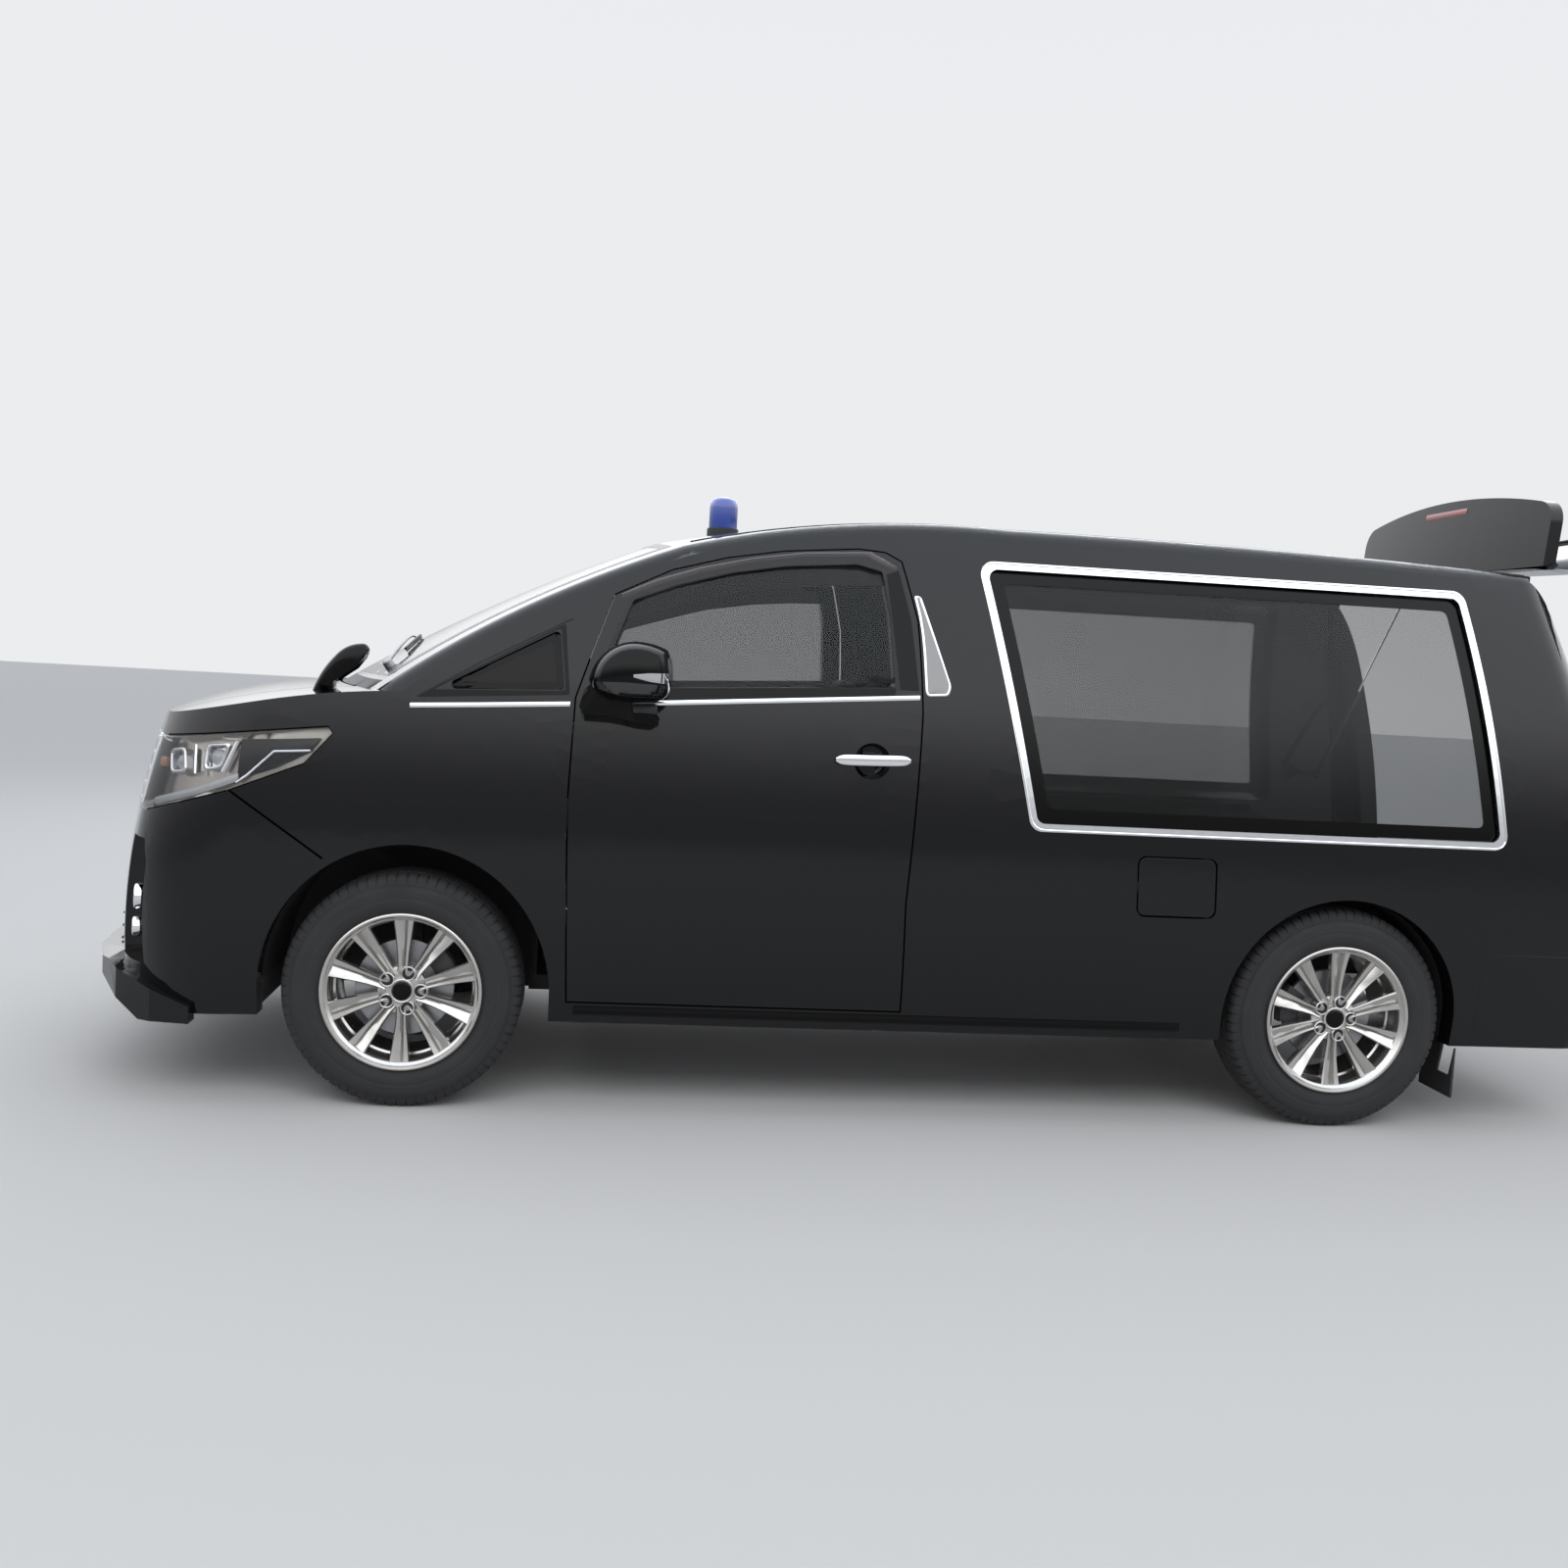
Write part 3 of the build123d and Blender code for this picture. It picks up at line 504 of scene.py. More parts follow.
# wheels, drawn about their own axle with the outer face up; profile rows give radius and height
print("wheels")
wheel = {
    "out": 0.785, "spokes": 10, "firstSpoke": 18.0, "lugs": 5, "lugCircle": 0.056,
    "rim": [(0.2283, 0.1008), (0.2436, 0.1008), (0.244, 0.106), (0.242, 0.1108), (0.238, 0.1124),
            (0.233, 0.1112), (0.2295, 0.1065), (0.2265, 0.1022), (0.2215, 0.0995), (0.2185, 0.094),
            (0.2165, 0.06), (0.214, 0.033), (0.2075, 0.029), (0.2055, 0.02), (0.2045, -0.092),
            (0.212, -0.098), (0.219, -0.104), (0.226, -0.111), (0.236, -0.1124),
            (0.243, -0.11), (0.2436, -0.1008), (0.2283, -0.1008)],
    # rows of a spoke give the radius, half its width and the height of its face
    "spoke": ((0.05, 0.017, 0.086), (0.078, 0.016, 0.087), (0.11, 0.018, 0.086),
              (0.15, 0.0225, 0.088), (0.19, 0.0275, 0.093), (0.214, 0.0305, 0.098),
              (0.2215, 0.0315, 0.0995)),
    "hub": [(0.0001, 0.048), (0.07, 0.048), (0.078, 0.056), (0.0775, 0.07), (0.074, 0.0755),
            (0.066, 0.078), (0.04, 0.079), (0.0375, 0.0895), (0.0345, 0.0905), (0.0315, 0.0895),
            (0.03, 0.086), (0.0001, 0.086)],
    "lug": [(0.017, 0.06), (0.0235, 0.06), (0.0225, 0.0865), (0.0205, 0.0885), (0.0185, 0.0878),
            (0.0172, 0.0855)],
    "cup": [(0.0001, 0.0785), (0.0172, 0.0785), (0.0172, 0.082), (0.0155, 0.08), (0.0001, 0.0795)],
    "nut": [(0.0001, 0.079), (0.0098, 0.079), (0.0098, 0.0845), (0.0088, 0.086), (0.0062, 0.0866),
            (0.0055, 0.0855), (0.0001, 0.0852)],
    "cap": [(0.0001, 0.0862), (0.0292, 0.0862), (0.029, 0.089), (0.0265, 0.0905), (0.018, 0.0914),
            (0.0001, 0.0918)],
}
tyre = {
    "blocks": 72, "lean": 0.3, "leanWidth": 0.1, "sipeDepth": 0.005,
    # rows of a sipe give its share of the pitch and how deep it is cut there
    "sipe": ((0.0, 0.0), (0.44, 0.0), (0.5, 1.0), (0.62, 1.0), (0.68, 0.0)),
    "sipeShare": {"shoulder": 1.0, "centre": 0.5, "plain": 0.0},
    "wall": [(0.2287, 0.0), (0.2287, 0.1003), (0.2452, 0.1003), (0.25, 0.1035), (0.26, 0.1085),
             (0.272, 0.1112), (0.2865, 0.1122), (0.288, 0.1116), (0.29, 0.1122), (0.301, 0.1115),
             (0.3022, 0.1106), (0.304, 0.111), (0.316, 0.1085), (0.325, 0.1052), (0.3262, 0.103),
             (0.333, 0.0985)],
    "tread": [(0.343, 0.095, "shoulder"), (0.352, 0.0905, "shoulder"), (0.3585, 0.082, "shoulder"),
              (0.3618, 0.07, "shoulder"), (0.3628, 0.06, "shoulder"), (0.363, 0.056, "plain"),
              (0.356, 0.0545, "plain"), (0.356, 0.0475, "plain"), (0.3632, 0.046, "plain"),
              (0.3634, 0.03, "centre"), (0.3634, 0.019, "plain"), (0.356, 0.0175, "plain"),
              (0.356, 0.0105, "plain"), (0.3634, 0.009, "plain")],
}
brake = {
    "disc": [(0.0705, 0.0108), (0.149, 0.0108), (0.15, 0.0118), (0.15, 0.0288), (0.149, 0.0298),
             (0.102, 0.0298), (0.096, 0.0285), (0.078, 0.0285), (0.078, 0.0455), (0.0705, 0.0455)],
    "holes": 24, "hole": [(0.0001, 0.0296), (0.0035, 0.0296), (0.0032, 0.0302), (0.0001, 0.0302)],
    "holeRing": 0.112, "holeStep": 0.012,
    "calliper": [(0.104, 0.0315), (0.152, 0.0315), (0.152, 0.009), (0.104, 0.009), (0.104, -0.006),
                 (0.158, -0.006), (0.17, 0.002), (0.172, 0.03), (0.166, 0.04), (0.15, 0.046),
                 (0.112, 0.046), (0.104, 0.042)],
    "start": {"front": 20.0, "rear": 145.0}, "sweep": 44.0,
}


def spokeSection(radius, half, top, flip):
    # a narrow blade, a groove and a wide blade, seen along the spoke
    narrow, gapWidth = half * 0.62, half * 0.3
    outline = [(-half, top - 0.026), (-half, top - 0.004), (-half + 0.0025, top),
               (-half + narrow - 0.002, top - 0.0015), (-half + narrow + gapWidth * 0.5, top - 0.013),
               (-half + narrow + gapWidth, top - 0.0075), (half - 0.004, top + 0.001),
               (half, top - 0.004), (half, top - 0.026)]
    return [(radius, across * flip, height) for across, height in outline]


def wheelPlace(axle, sign):
    centre = at(0.0 if axle == "front" else wheelBase, sign * wheel["out"], axleZ)
    axes = Matrix(((1, 0, 0, 0), (0, 0, sign, 0), (0, 1, 0, 0), (0, 0, 0, 1)))
    return Matrix.Translation(centre) @ axes


def turned(angle, radius=0.0):
    return Matrix.Rotation(math.radians(angle), 4, "Z") @ Matrix.Translation((radius, 0, 0))


def treadRings():
    # the tyre's outline from the inner bead, round the tread, to the outer bead, at each turn
    rows = [(r, h, "plain") for r, h in tyre["wall"]] + tyre["tread"]
    rows += [(r, -h, kind) for r, h, kind in rows[:0:-1]]
    made, pitch = [], 360.0 / tyre["blocks"]
    for block in range(tyre["blocks"]):
        for share, cut in tyre["sipe"]:
            ring = []
            for r, h, kind in rows:
                lean = tyre["lean"] if h > 0 else -tyre["lean"]
                drop = cut * tyre["sipeDepth"] * tyre["sipeShare"][kind]
                angle = math.radians((block + share + lean * abs(h) / tyre["leanWidth"]) * pitch)
                ring.append(((r - drop) * math.cos(angle), (r - drop) * math.sin(angle), h))
            made.append(ring)
    return made


tread = treadRings()
for side, sign in sides:
    for axle in ("front", "rear"):
        end = "_%s_%s" % (axle, side)
        place, body = wheelPlace(axle, sign), "wheel" + end
        made = Shape().rings(tread, True, place)
        made.piece("tyre" + end + ".tread", tyreRubber, "tyre", body, "tyre" + end, angle=28)
        rim, cups, nuts = Shape().lathe(wheel["rim"], place, 96), Shape(), Shape()
        for i in range(wheel["spokes"]):
            angle = wheel["firstSpoke"] + i * 360.0 / wheel["spokes"]
            flip = 1 if i % 2 == 0 else -1
            rows = [spokeSection(r, half, top, flip) for r, half, top in wheel["spoke"]]
            rim.rings(rows, False, place @ turned(angle))
        rim.lathe(wheel["hub"], place, 60)
        for i in range(wheel["lugs"]):
            lugPlace = place @ turned(i * 360.0 / wheel["lugs"], wheel["lugCircle"])
            rim.lathe(wheel["lug"], lugPlace, 28)
            cups.lathe(wheel["cup"], lugPlace, 24)
            nuts.lathe(wheel["nut"], lugPlace, 6)
        rim.piece("rim" + end + ".alloy", wheelSilver, "wheel_alloy", body, "rim" + end)
        cups.piece("lugCups" + end, lampDark, "dark_plastic", body)
        nuts.piece("wheelNuts" + end, steel, "chassis_metal", body)
        cap = Shape().lathe(wheel["cap"], place, 40)
        cap.piece("hubCap" + end, blackGloss, "dark_plastic", body)
        disc = Shape().lathe(brake["disc"], place, 72)
        for i in range(brake["holes"]):
            holeAt = turned(i * 360.0 / brake["holes"], brake["holeRing"] + brake["holeStep"] * (i % 3))
            disc.lathe(brake["hole"], place @ holeAt, 10)
        disc.piece("brakeDisc" + end, steel, "chassis_metal", body)
        calliper = Shape().lathe(brake["calliper"], place, 14, brake["start"][axle], brake["sweep"])
        carrier = "knuckle_" + side if axle == "front" else "body"
        calliper.piece("calliper" + end, darkSteel, "chassis_metal", carrier)

# surfaces that trim is laid on
outerParts = ("side", "fender", "door", "load_glass", "quarter_glass", "door_glass", "load_window_frame")
outerSkin = {side: Skin(*[part + "_" + side for part in outerParts]) for side, sign in sides}

# trim along the belt, pillars and windows
print("trim")
belt = {
    "line": [(-0.004, 1.243), (0.2, 1.2545), (0.485, 1.272), (0.778, 1.291), (1.15, 1.318),
             (1.554, 1.347)],
    "height": 0.014, "apart": 0.03, "fender": (-0.004, 0.47), "door": (0.484, 1.548),
    "sealTop": [(0.56, 1.318), (0.7, 1.325), (0.85, 1.333), (1.0, 1.341), (1.2, 1.352),
                (1.47, 1.366)], "sealLift": 0.001,
}
visor = {
    "top": [(0.612, 1.612), (0.72, 1.664), (0.85, 1.709), (1.02, 1.751), (1.18, 1.778), (1.39, 1.792),
            (1.47, 1.752)],
    "low": [(0.59, 1.52), (0.737, 1.568), (0.86, 1.606), (0.967, 1.636), (1.146, 1.666),
            (1.308, 1.682), (1.482, 1.69)],
    # its section: the share of the way down, and how far it stands off the glass
    "section": ((0.0, 0.001), (0.04, 0.007), (0.16, 0.012), (0.5, 0.0135), (0.92, 0.0125),
                (1.0, 0.011), (1.0, 0.0085), (0.92, 0.0095), (0.5, 0.0105), (0.16, 0.009),
                (0.06, 0.004), (0.03, 0.0)),
    "lean": 0.34,
}
pillar = {
    "outline": [(1.527, 1.66), (1.549, 1.658), (1.648, 1.378), (1.64, 1.35), (1.567, 1.345),
                (1.562, 1.42), (1.558, 1.48), (1.552, 1.54), (1.542, 1.6)],
    "width": 0.007, "outerRound": 0.016, "innerRound": 0.01,
    "frameFront": [(1.44, 1.722), (1.456, 1.6), (1.486, 1.362)],
    "frameRear": [(1.478, 1.738), (1.518, 1.58), (1.545, 1.362)],
    "sealHigh": [(0.01, 1.27), (0.2, 1.387), (0.462, 1.532)],
    "sealLow": [(0.018, 1.264), (0.205, 1.379), (0.468, 1.523)],
}
loadWindow = [(1.734, 1.787), (3.395, 1.79), (3.524, 0.946), (1.919, 0.943)]
quarterWindow = [(0.07, 1.29), (0.43, 1.49), (0.452, 1.306)]
quarterBorder = [(0.01, 1.262), (0.446, 1.508), (0.468, 1.292)]
doorWindow = [(0.545, 1.318), (0.648, 1.592), (0.785, 1.648), (0.95, 1.696), (1.12, 1.728),
              (1.345, 1.748), (1.425, 1.73), (1.452, 1.6), (1.47, 1.368)]
sill = {"high": [(0.52, 0.338), (2.46, 0.338)], "low": [(0.52, 0.312), (2.46, 0.312)]}


def beltAt(x):
    for a, b in zip(belt["line"], belt["line"][1:]):
        if x <= b[0]:
            return a[1] + (b[1] - a[1]) * (x - a[0]) / (b[0] - a[0])
    return belt["line"][-1][1]


def beltRun(start, end):
    corners = [x for x, z in belt["line"] if start + belt["apart"] < x < end - belt["apart"]]
    xs = [start] + corners + [end]
    return [(x, beltAt(x)) for x in xs], [(x, beltAt(x) - belt["height"]) for x in xs]


def visorRings(cast, sign):
    rows = []
    for a, b in zip(divided(visor["top"], 8), divided(visor["low"], 8)):
        place, normal = cast(*a)
        ring = []
        for t, out in visor["section"]:
            x, z = Vector(a).lerp(Vector(b), t)
            drop = Vector((0, -sign * visor["lean"] * (a[1] - z), z - a[1])) + Vector((x - a[0], 0, 0))
            ring.append(place + drop + Vector((0, sign, 0)) * out)
        rows.append(ring)
    return rows


for side, sign in sides:
    end, door = "." + side, "door_" + side
    cast = outerSkin[side].side(sign)
    for name, run, body in (("beltFender", belt["fender"], "body"), ("beltDoor", belt["door"], door)):
        strip(name + end, cast, *beltRun(*run), chrome, "trim_chrome", body, lift=0.0035, depth=0.006,
              dome=0.0025, columns=6, count=8)
    pillarCast = Skin("side_" + side).side(sign)
    outer = rounded(pillar["outline"], pillar["outerRound"])
    inner = rounded(grow(pillar["outline"], -pillar["width"]), pillar["innerRound"])
    strip("pillarTrim" + end, pillarCast, outer, inner, polishedStrip, "trim_chrome",
          lift=0.0026, depth=0.004, dome=0.002, count=4, closed=True)
    strip("pillarPanel" + end, pillarCast, *halves(inner), shadedChrome, "trim_chrome",
          lift=0.0022, depth=0.003, dome=0.0006, count=2)
    sealLow = [(x, beltAt(x) + belt["sealLift"]) for x, z in belt["sealTop"]]
    strip("beltSeal" + end, cast, sealLow, belt["sealTop"], blackGloss, "dark_plastic", door,
          lift=0.0022, depth=0.003, count=10)
    outer, inner = rounded(quarterBorder, 0.01), rounded(grow(quarterWindow, 0.003), 0.014)
    strip("quarterBorder" + end, cast, outer, inner, blackGloss, "dark_plastic",
          lift=0.0012, depth=0.002, columns=3, count=5, closed=True)
    strip("doorFramePanel" + end, cast, pillar["frameFront"], pillar["frameRear"], blackGloss,
          "dark_plastic", door, lift=0.002, count=8)
    border("windowBorder" + end, Skin("load_glass_" + side).side(sign), loadWindow, (-0.026, -0.07),
           (0.03, 0.022), blackGloss, "window_frame", lift=0.0012, depth=0.0015, columns=3,
           count=12)
    border("frameEdge" + end, Skin("load_window_frame_" + side).side(sign), loadWindow, (-0.002, -0.008),
           (0.044, 0.04), chrome, "window_frame", lift=0.0012, depth=0.002, dome=0.0012,
           columns=4, count=12)
    border("quarterSeal" + end, Skin("quarter_glass_" + side).side(sign), quarterWindow,
           (-0.002, -0.022), (0.014, 0.01), blackGloss, "dark_plastic", lift=0.0008,
           depth=0.001, columns=2, count=5)
    doorCast = Skin(door).side(sign)
    border("doorSeal" + end, doorCast, doorWindow, (0.013, 0.002), (0.018, 0.014), softRubber,
           "dark_plastic", door, lift=0.0012, depth=0.002, columns=2, count=3)
    Shape().rings(visorRings(doorCast, sign)).piece("windVisor" + end, visorGlass, "window_glass", door)
    strip("sillGarnish" + end, cast, sill["high"], sill["low"], blackGloss, "dark_plastic",
          lift=0.004, depth=0.006, dome=0.003, count=40)
    strip("pillarSeal" + end, cast, pillar["sealHigh"], pillar["sealLow"], softRubber, "dark_plastic",
          lift=0.0016, depth=0.003, dome=0.001, count=10)

# door handles: a flattened grip on two feet
doorHandle = {
    "front": 1.288, "rear": 1.522, "z": 1.138, "climb": 0.006, "tall": 0.035, "deep": 0.017,
    "stand": 0.03, "steps": 20, "points": 16, "footIn": 0.018, "footRound": 0.01,
    # the door's skin is felt in front of the hollow behind the grip, or to the rear of it
    "feelFront": 1.2, "feelRear": 1.535, "middle": 1.405,
}


def fuller(value, power):
    # a sine or cosine pushed outward, which makes a round section squarer
    return math.copysign(abs(value) ** power, value)


def besideGrip(cast, x):
    beside = doorHandle["feelFront"] if x < doorHandle["middle"] else doorHandle["feelRear"]
    return cast(beside, doorHandle["z"])


for side, sign in sides:
    cast, rows = outerSkin[side].side(sign), []
    for k in range(doorHandle["steps"] + 1):
        t = k / doorHandle["steps"]
        x = doorHandle["front"] + (doorHandle["rear"] - doorHandle["front"]) * t
        slim = max(0.12, 1.0 - abs(2 * t - 1) ** 9) ** 0.5
        place, normal = besideGrip(cast, x)
        stand = sign * doorHandle["stand"] * (0.55 + 0.45 * math.sin(math.pi * t))
        centre = at(x, place.y + stand, doorHandle["z"] + doorHandle["climb"] * t)
        deep, tall = sign * doorHandle["deep"] / 2 * slim, doorHandle["tall"] / 2 * slim
        ring = []
        for j in range(doorHandle["points"]):
            a = math.tau * j / doorHandle["points"]
            out, up = deep * fuller(math.cos(a), 0.7), tall * fuller(math.sin(a), 0.6)
            ring.append(centre + Vector((0, out, up)))
        rows.append(ring)
    grip = Shape().rings(rows)
    for x in (doorHandle["front"] + doorHandle["footIn"], doorHandle["rear"] - doorHandle["footIn"]):
        place, normal = besideGrip(cast, x)
        along = Vector((x - (place.x - axleX), 0, 0))
        grip.tube([place - normal * 0.004 + along, place + normal * 0.022 + along],
                  doorHandle["footRound"], 14)
    grip.piece("doorGrip." + side, chrome, "trim_chrome", "door_" + side, "door_handle_" + side, angle=50)

# windscreen border, wipers and the mirror behind the glass
print("screen")
screenCast = Skin("windscreen", "cowl").above()
screen = {"baseMiddle": -0.283, "baseSide": -0.094, "sideLow": 0.784, "topMiddle": 0.708,
          "topSide": 0.766, "sideHigh": 0.65, "border": (0.006, 0.045), "count": 16}


def screenLoop(inset):
    # the screen's outline seen from above: lower edge, right side, upper edge, left side
    lowSide, highSide = screen["sideLow"] - inset, screen["sideHigh"] - inset
    rise = screen["topSide"] - screen["baseSide"] - 2 * inset
    baseBow = screen["baseSide"] - screen["baseMiddle"]
    topBow = screen["topSide"] - screen["topMiddle"]
    across = [-1 + 2 * k / screen["count"] for k in range(screen["count"] + 1)]
    along = [k / screen["count"] for k in range(1, screen["count"])]
    up = [(screen["baseSide"] + inset + rise * t, lowSide + (highSide - lowSide) * t) for t in along]
    loop = [(screen["baseMiddle"] + baseBow * t * t + inset, t * lowSide) for t in across] + up
    loop += [(screen["topMiddle"] + topBow * t * t - inset, t * highSide) for t in across[::-1]]
    return loop + [(x, -y) for x, y in up[::-1]]


strip("screenBorder", Skin("windscreen").above(), *(screenLoop(inset) for inset in screen["border"]),
      lampDark, "dark_plastic", lift=0.0006, depth=0.001, columns=2, count=1, closed=True)
wiper = {
    # each wiper: its pivot, its tip and the elbow of the curve between them
    "left": ((-0.1, -0.66), (-0.13, 0.02), (-0.02, -0.36)),
    "right": ((-0.16, 0.18), (0.01, 0.7), (0.02, 0.42)),
    "knob": [(0.0001, -0.012), (0.017, -0.012), (0.016, 0.014), (0.011, 0.02), (0.0001, 0.021)],
    "steps": 12, "armSteps": 9, "armRound": 0.0065, "taper": 0.0004, "bladeStart": 2, "bladeBack": 0.016,
    "bladeHigh": 0.013, "rubberHigh": 0.005, "bladeRound": 0.005, "rubberRound": 0.0032,
}
for name in ("left", "right"):
    start, end, middle = (Vector(point) for point in wiper[name])
    path = []
    for k in range(wiper["steps"] + 1):
        t = k / wiper["steps"]
        path.append(start * (1 - t) ** 2 + middle * 2 * t * (1 - t) + end * t * t)
    armPath, bladePath, rubberPath = [], [], []
    for k, spot in enumerate(path[:wiper["armSteps"]]):
        place, normal = screenCast(spot.x, spot.y)
        armPath.append(place + normal * (0.016 + 0.012 * math.sin(math.pi * k / 8)))
    thinning = [wiper["armRound"] - wiper["taper"] * k for k in range(wiper["armSteps"])]
    arm = Shape().tube(armPath, thinning)
    place, normal = screenCast(*wiper[name][0])
    arm.lathe(wiper["knob"], facing(place + normal * 0.006, normal), 20)
    arm.piece("wiperArm." + name, steel, "chassis_metal")
    for spot in path[wiper["bladeStart"]:]:
        place, normal = screenCast(spot.x + wiper["bladeBack"], spot.y)
        bladePath.append(place + normal * wiper["bladeHigh"])
        rubberPath.append(place + normal * wiper["rubberHigh"])
    blade = Shape().tube(bladePath, wiper["bladeRound"], 6).tube(rubberPath, wiper["rubberRound"], 6)
    blade.piece("wiperBlade." + name, darkPlastic, "dark_plastic")


def tipped(angle):
    return Matrix.Rotation(math.radians(angle), 4, "Y")


cabMirror = Shape().box(at(0.665, 0, 1.665), (0.022, 0.235, 0.062), 0.012, tipped(-12), 3)
cabMirror.tube([at(0.655, 0, 1.69), at(0.64, 0, 1.735), at(0.655, 0, 1.772)], 0.007)
cabMirror.piece("cabMirror", darkPlastic, "dark_plastic")

# headlamps: a clear shell over a tray with its bowls, bars and strips
print("lamps")
lampParts = {
    "outward": (-0.75, 0.66), "gap": 0.0045, "trayDepth": 0.05,
    "bowls": [([(-0.735, 1.066), (-0.672, 1.078), (-0.66, 1.004), (-0.722, 0.992)], 0.01),
              ([(-0.6, 1.092), (-0.52, 1.1), (-0.545, 1.022), (-0.606, 1.01)], 0.01)],
    "bowlRound": 0.018, "wallRound": 0.014, "bulbDepth": 0.036,
    "bulb": [(0.0001, 0.0), (0.024, 0.0), (0.024, 0.008), (0.019, 0.014), (0.01, 0.018),
             (0.0001, 0.0195)],
    "bars": [([(-0.508, 1.104), (-0.548, 1.012)], [(-0.494, 1.105), (-0.534, 1.01)]),
             ([(-0.64, 1.086), (-0.636, 1.002)], [(-0.63, 1.087), (-0.626, 1.001)])],
    "line": [(-0.5, 0.985), (-0.47, 1.008), (-0.395, 1.083), (-0.29, 1.09)],
    "strip": [(-0.765, 0.905), (-0.62, 0.948), (-0.49, 0.998)],
    "amber": [(-0.765, 1.04), (-0.738, 1.04), (-0.738, 1.012), (-0.765, 1.01)],
    "rearPlate": [[(-0.492, 1.112), (-0.38, 1.118), (-0.262, 1.126)],
                  [(-0.5, 0.99), (-0.392, 1.03), (-0.296, 1.082)]],
}
ladder = {
    "backIn": [(0.646, 1.096), (0.646, 0.884)], "backOut": [(0.704, 1.09), (0.704, 0.89)],
    "railIn": [(0.699, 1.094), (0.699, 0.886)], "railOut": [(0.707, 1.093), (0.707, 0.888)],
    "rungs": 5, "firstRung": 0.898, "rungStep": 0.0475, "rung": ((0.646, 0.009), (0.7, 0.007)),
}


def flipped(points, sign):
    # the same points on the left (-1) or on the right (1)
    return [(sign * y, z) for y, z in points]


def thicken(made, thickness, offset):
    thick = made.modifiers.new("thick", "SOLIDIFY")
    thick.thickness = thickness
    thick.offset = offset
    return made


def lampShells(side, sign):
    # the lamp's outer faces as a clear lens, and the same faces set back as an open tray
    outward = Vector((lampParts["outward"][0], sign * lampParts["outward"][1], 0.0)).normalized()
    shell = bmesh.new()
    shell.from_mesh(nodes["headlamp_" + side].data)
    bmesh.ops.remove_doubles(shell, verts=shell.verts, dist=edge["join"])
    hidden = [face for face in shell.faces if face.normal.dot(outward) < 0.25 or abs(face.normal.z) > 0.9]
    bmesh.ops.delete(shell, geom=hidden, context="FACES")
    tray = shell.copy()
    lens = thicken(fromForm("lampLens." + side, shell, lampGlass, 60), 0.0025, -1.0)
    finishPiece(lens, "body", "window_glass", "headlamp_" + side)
    tray.normal_update()
    for vert in tray.verts:
        vert.co -= vert.normal * lampParts["gap"]
    added = bmesh.ops.extrude_face_region(tray, geom=tray.faces[:])["geom"]
    pushed = {item for item in added if isinstance(item, bmesh.types.BMVert)}
    kept = {item for item in added if isinstance(item, bmesh.types.BMFace)}
    front = [face for face in tray.faces if face not in kept and pushed.isdisjoint(face.verts)]
    for vert in pushed:
        vert.co -= outward * lampParts["trayDepth"]
    bmesh.ops.delete(tray, geom=front, context="FACES_ONLY")
    bmesh.ops.recalc_face_normals(tray, faces=tray.faces)
    made = thicken(fromForm("lampTray." + side, tray, lampShell, 40), 0.0015, 0.0)
    finishPiece(made, "body", "lamp_housing")


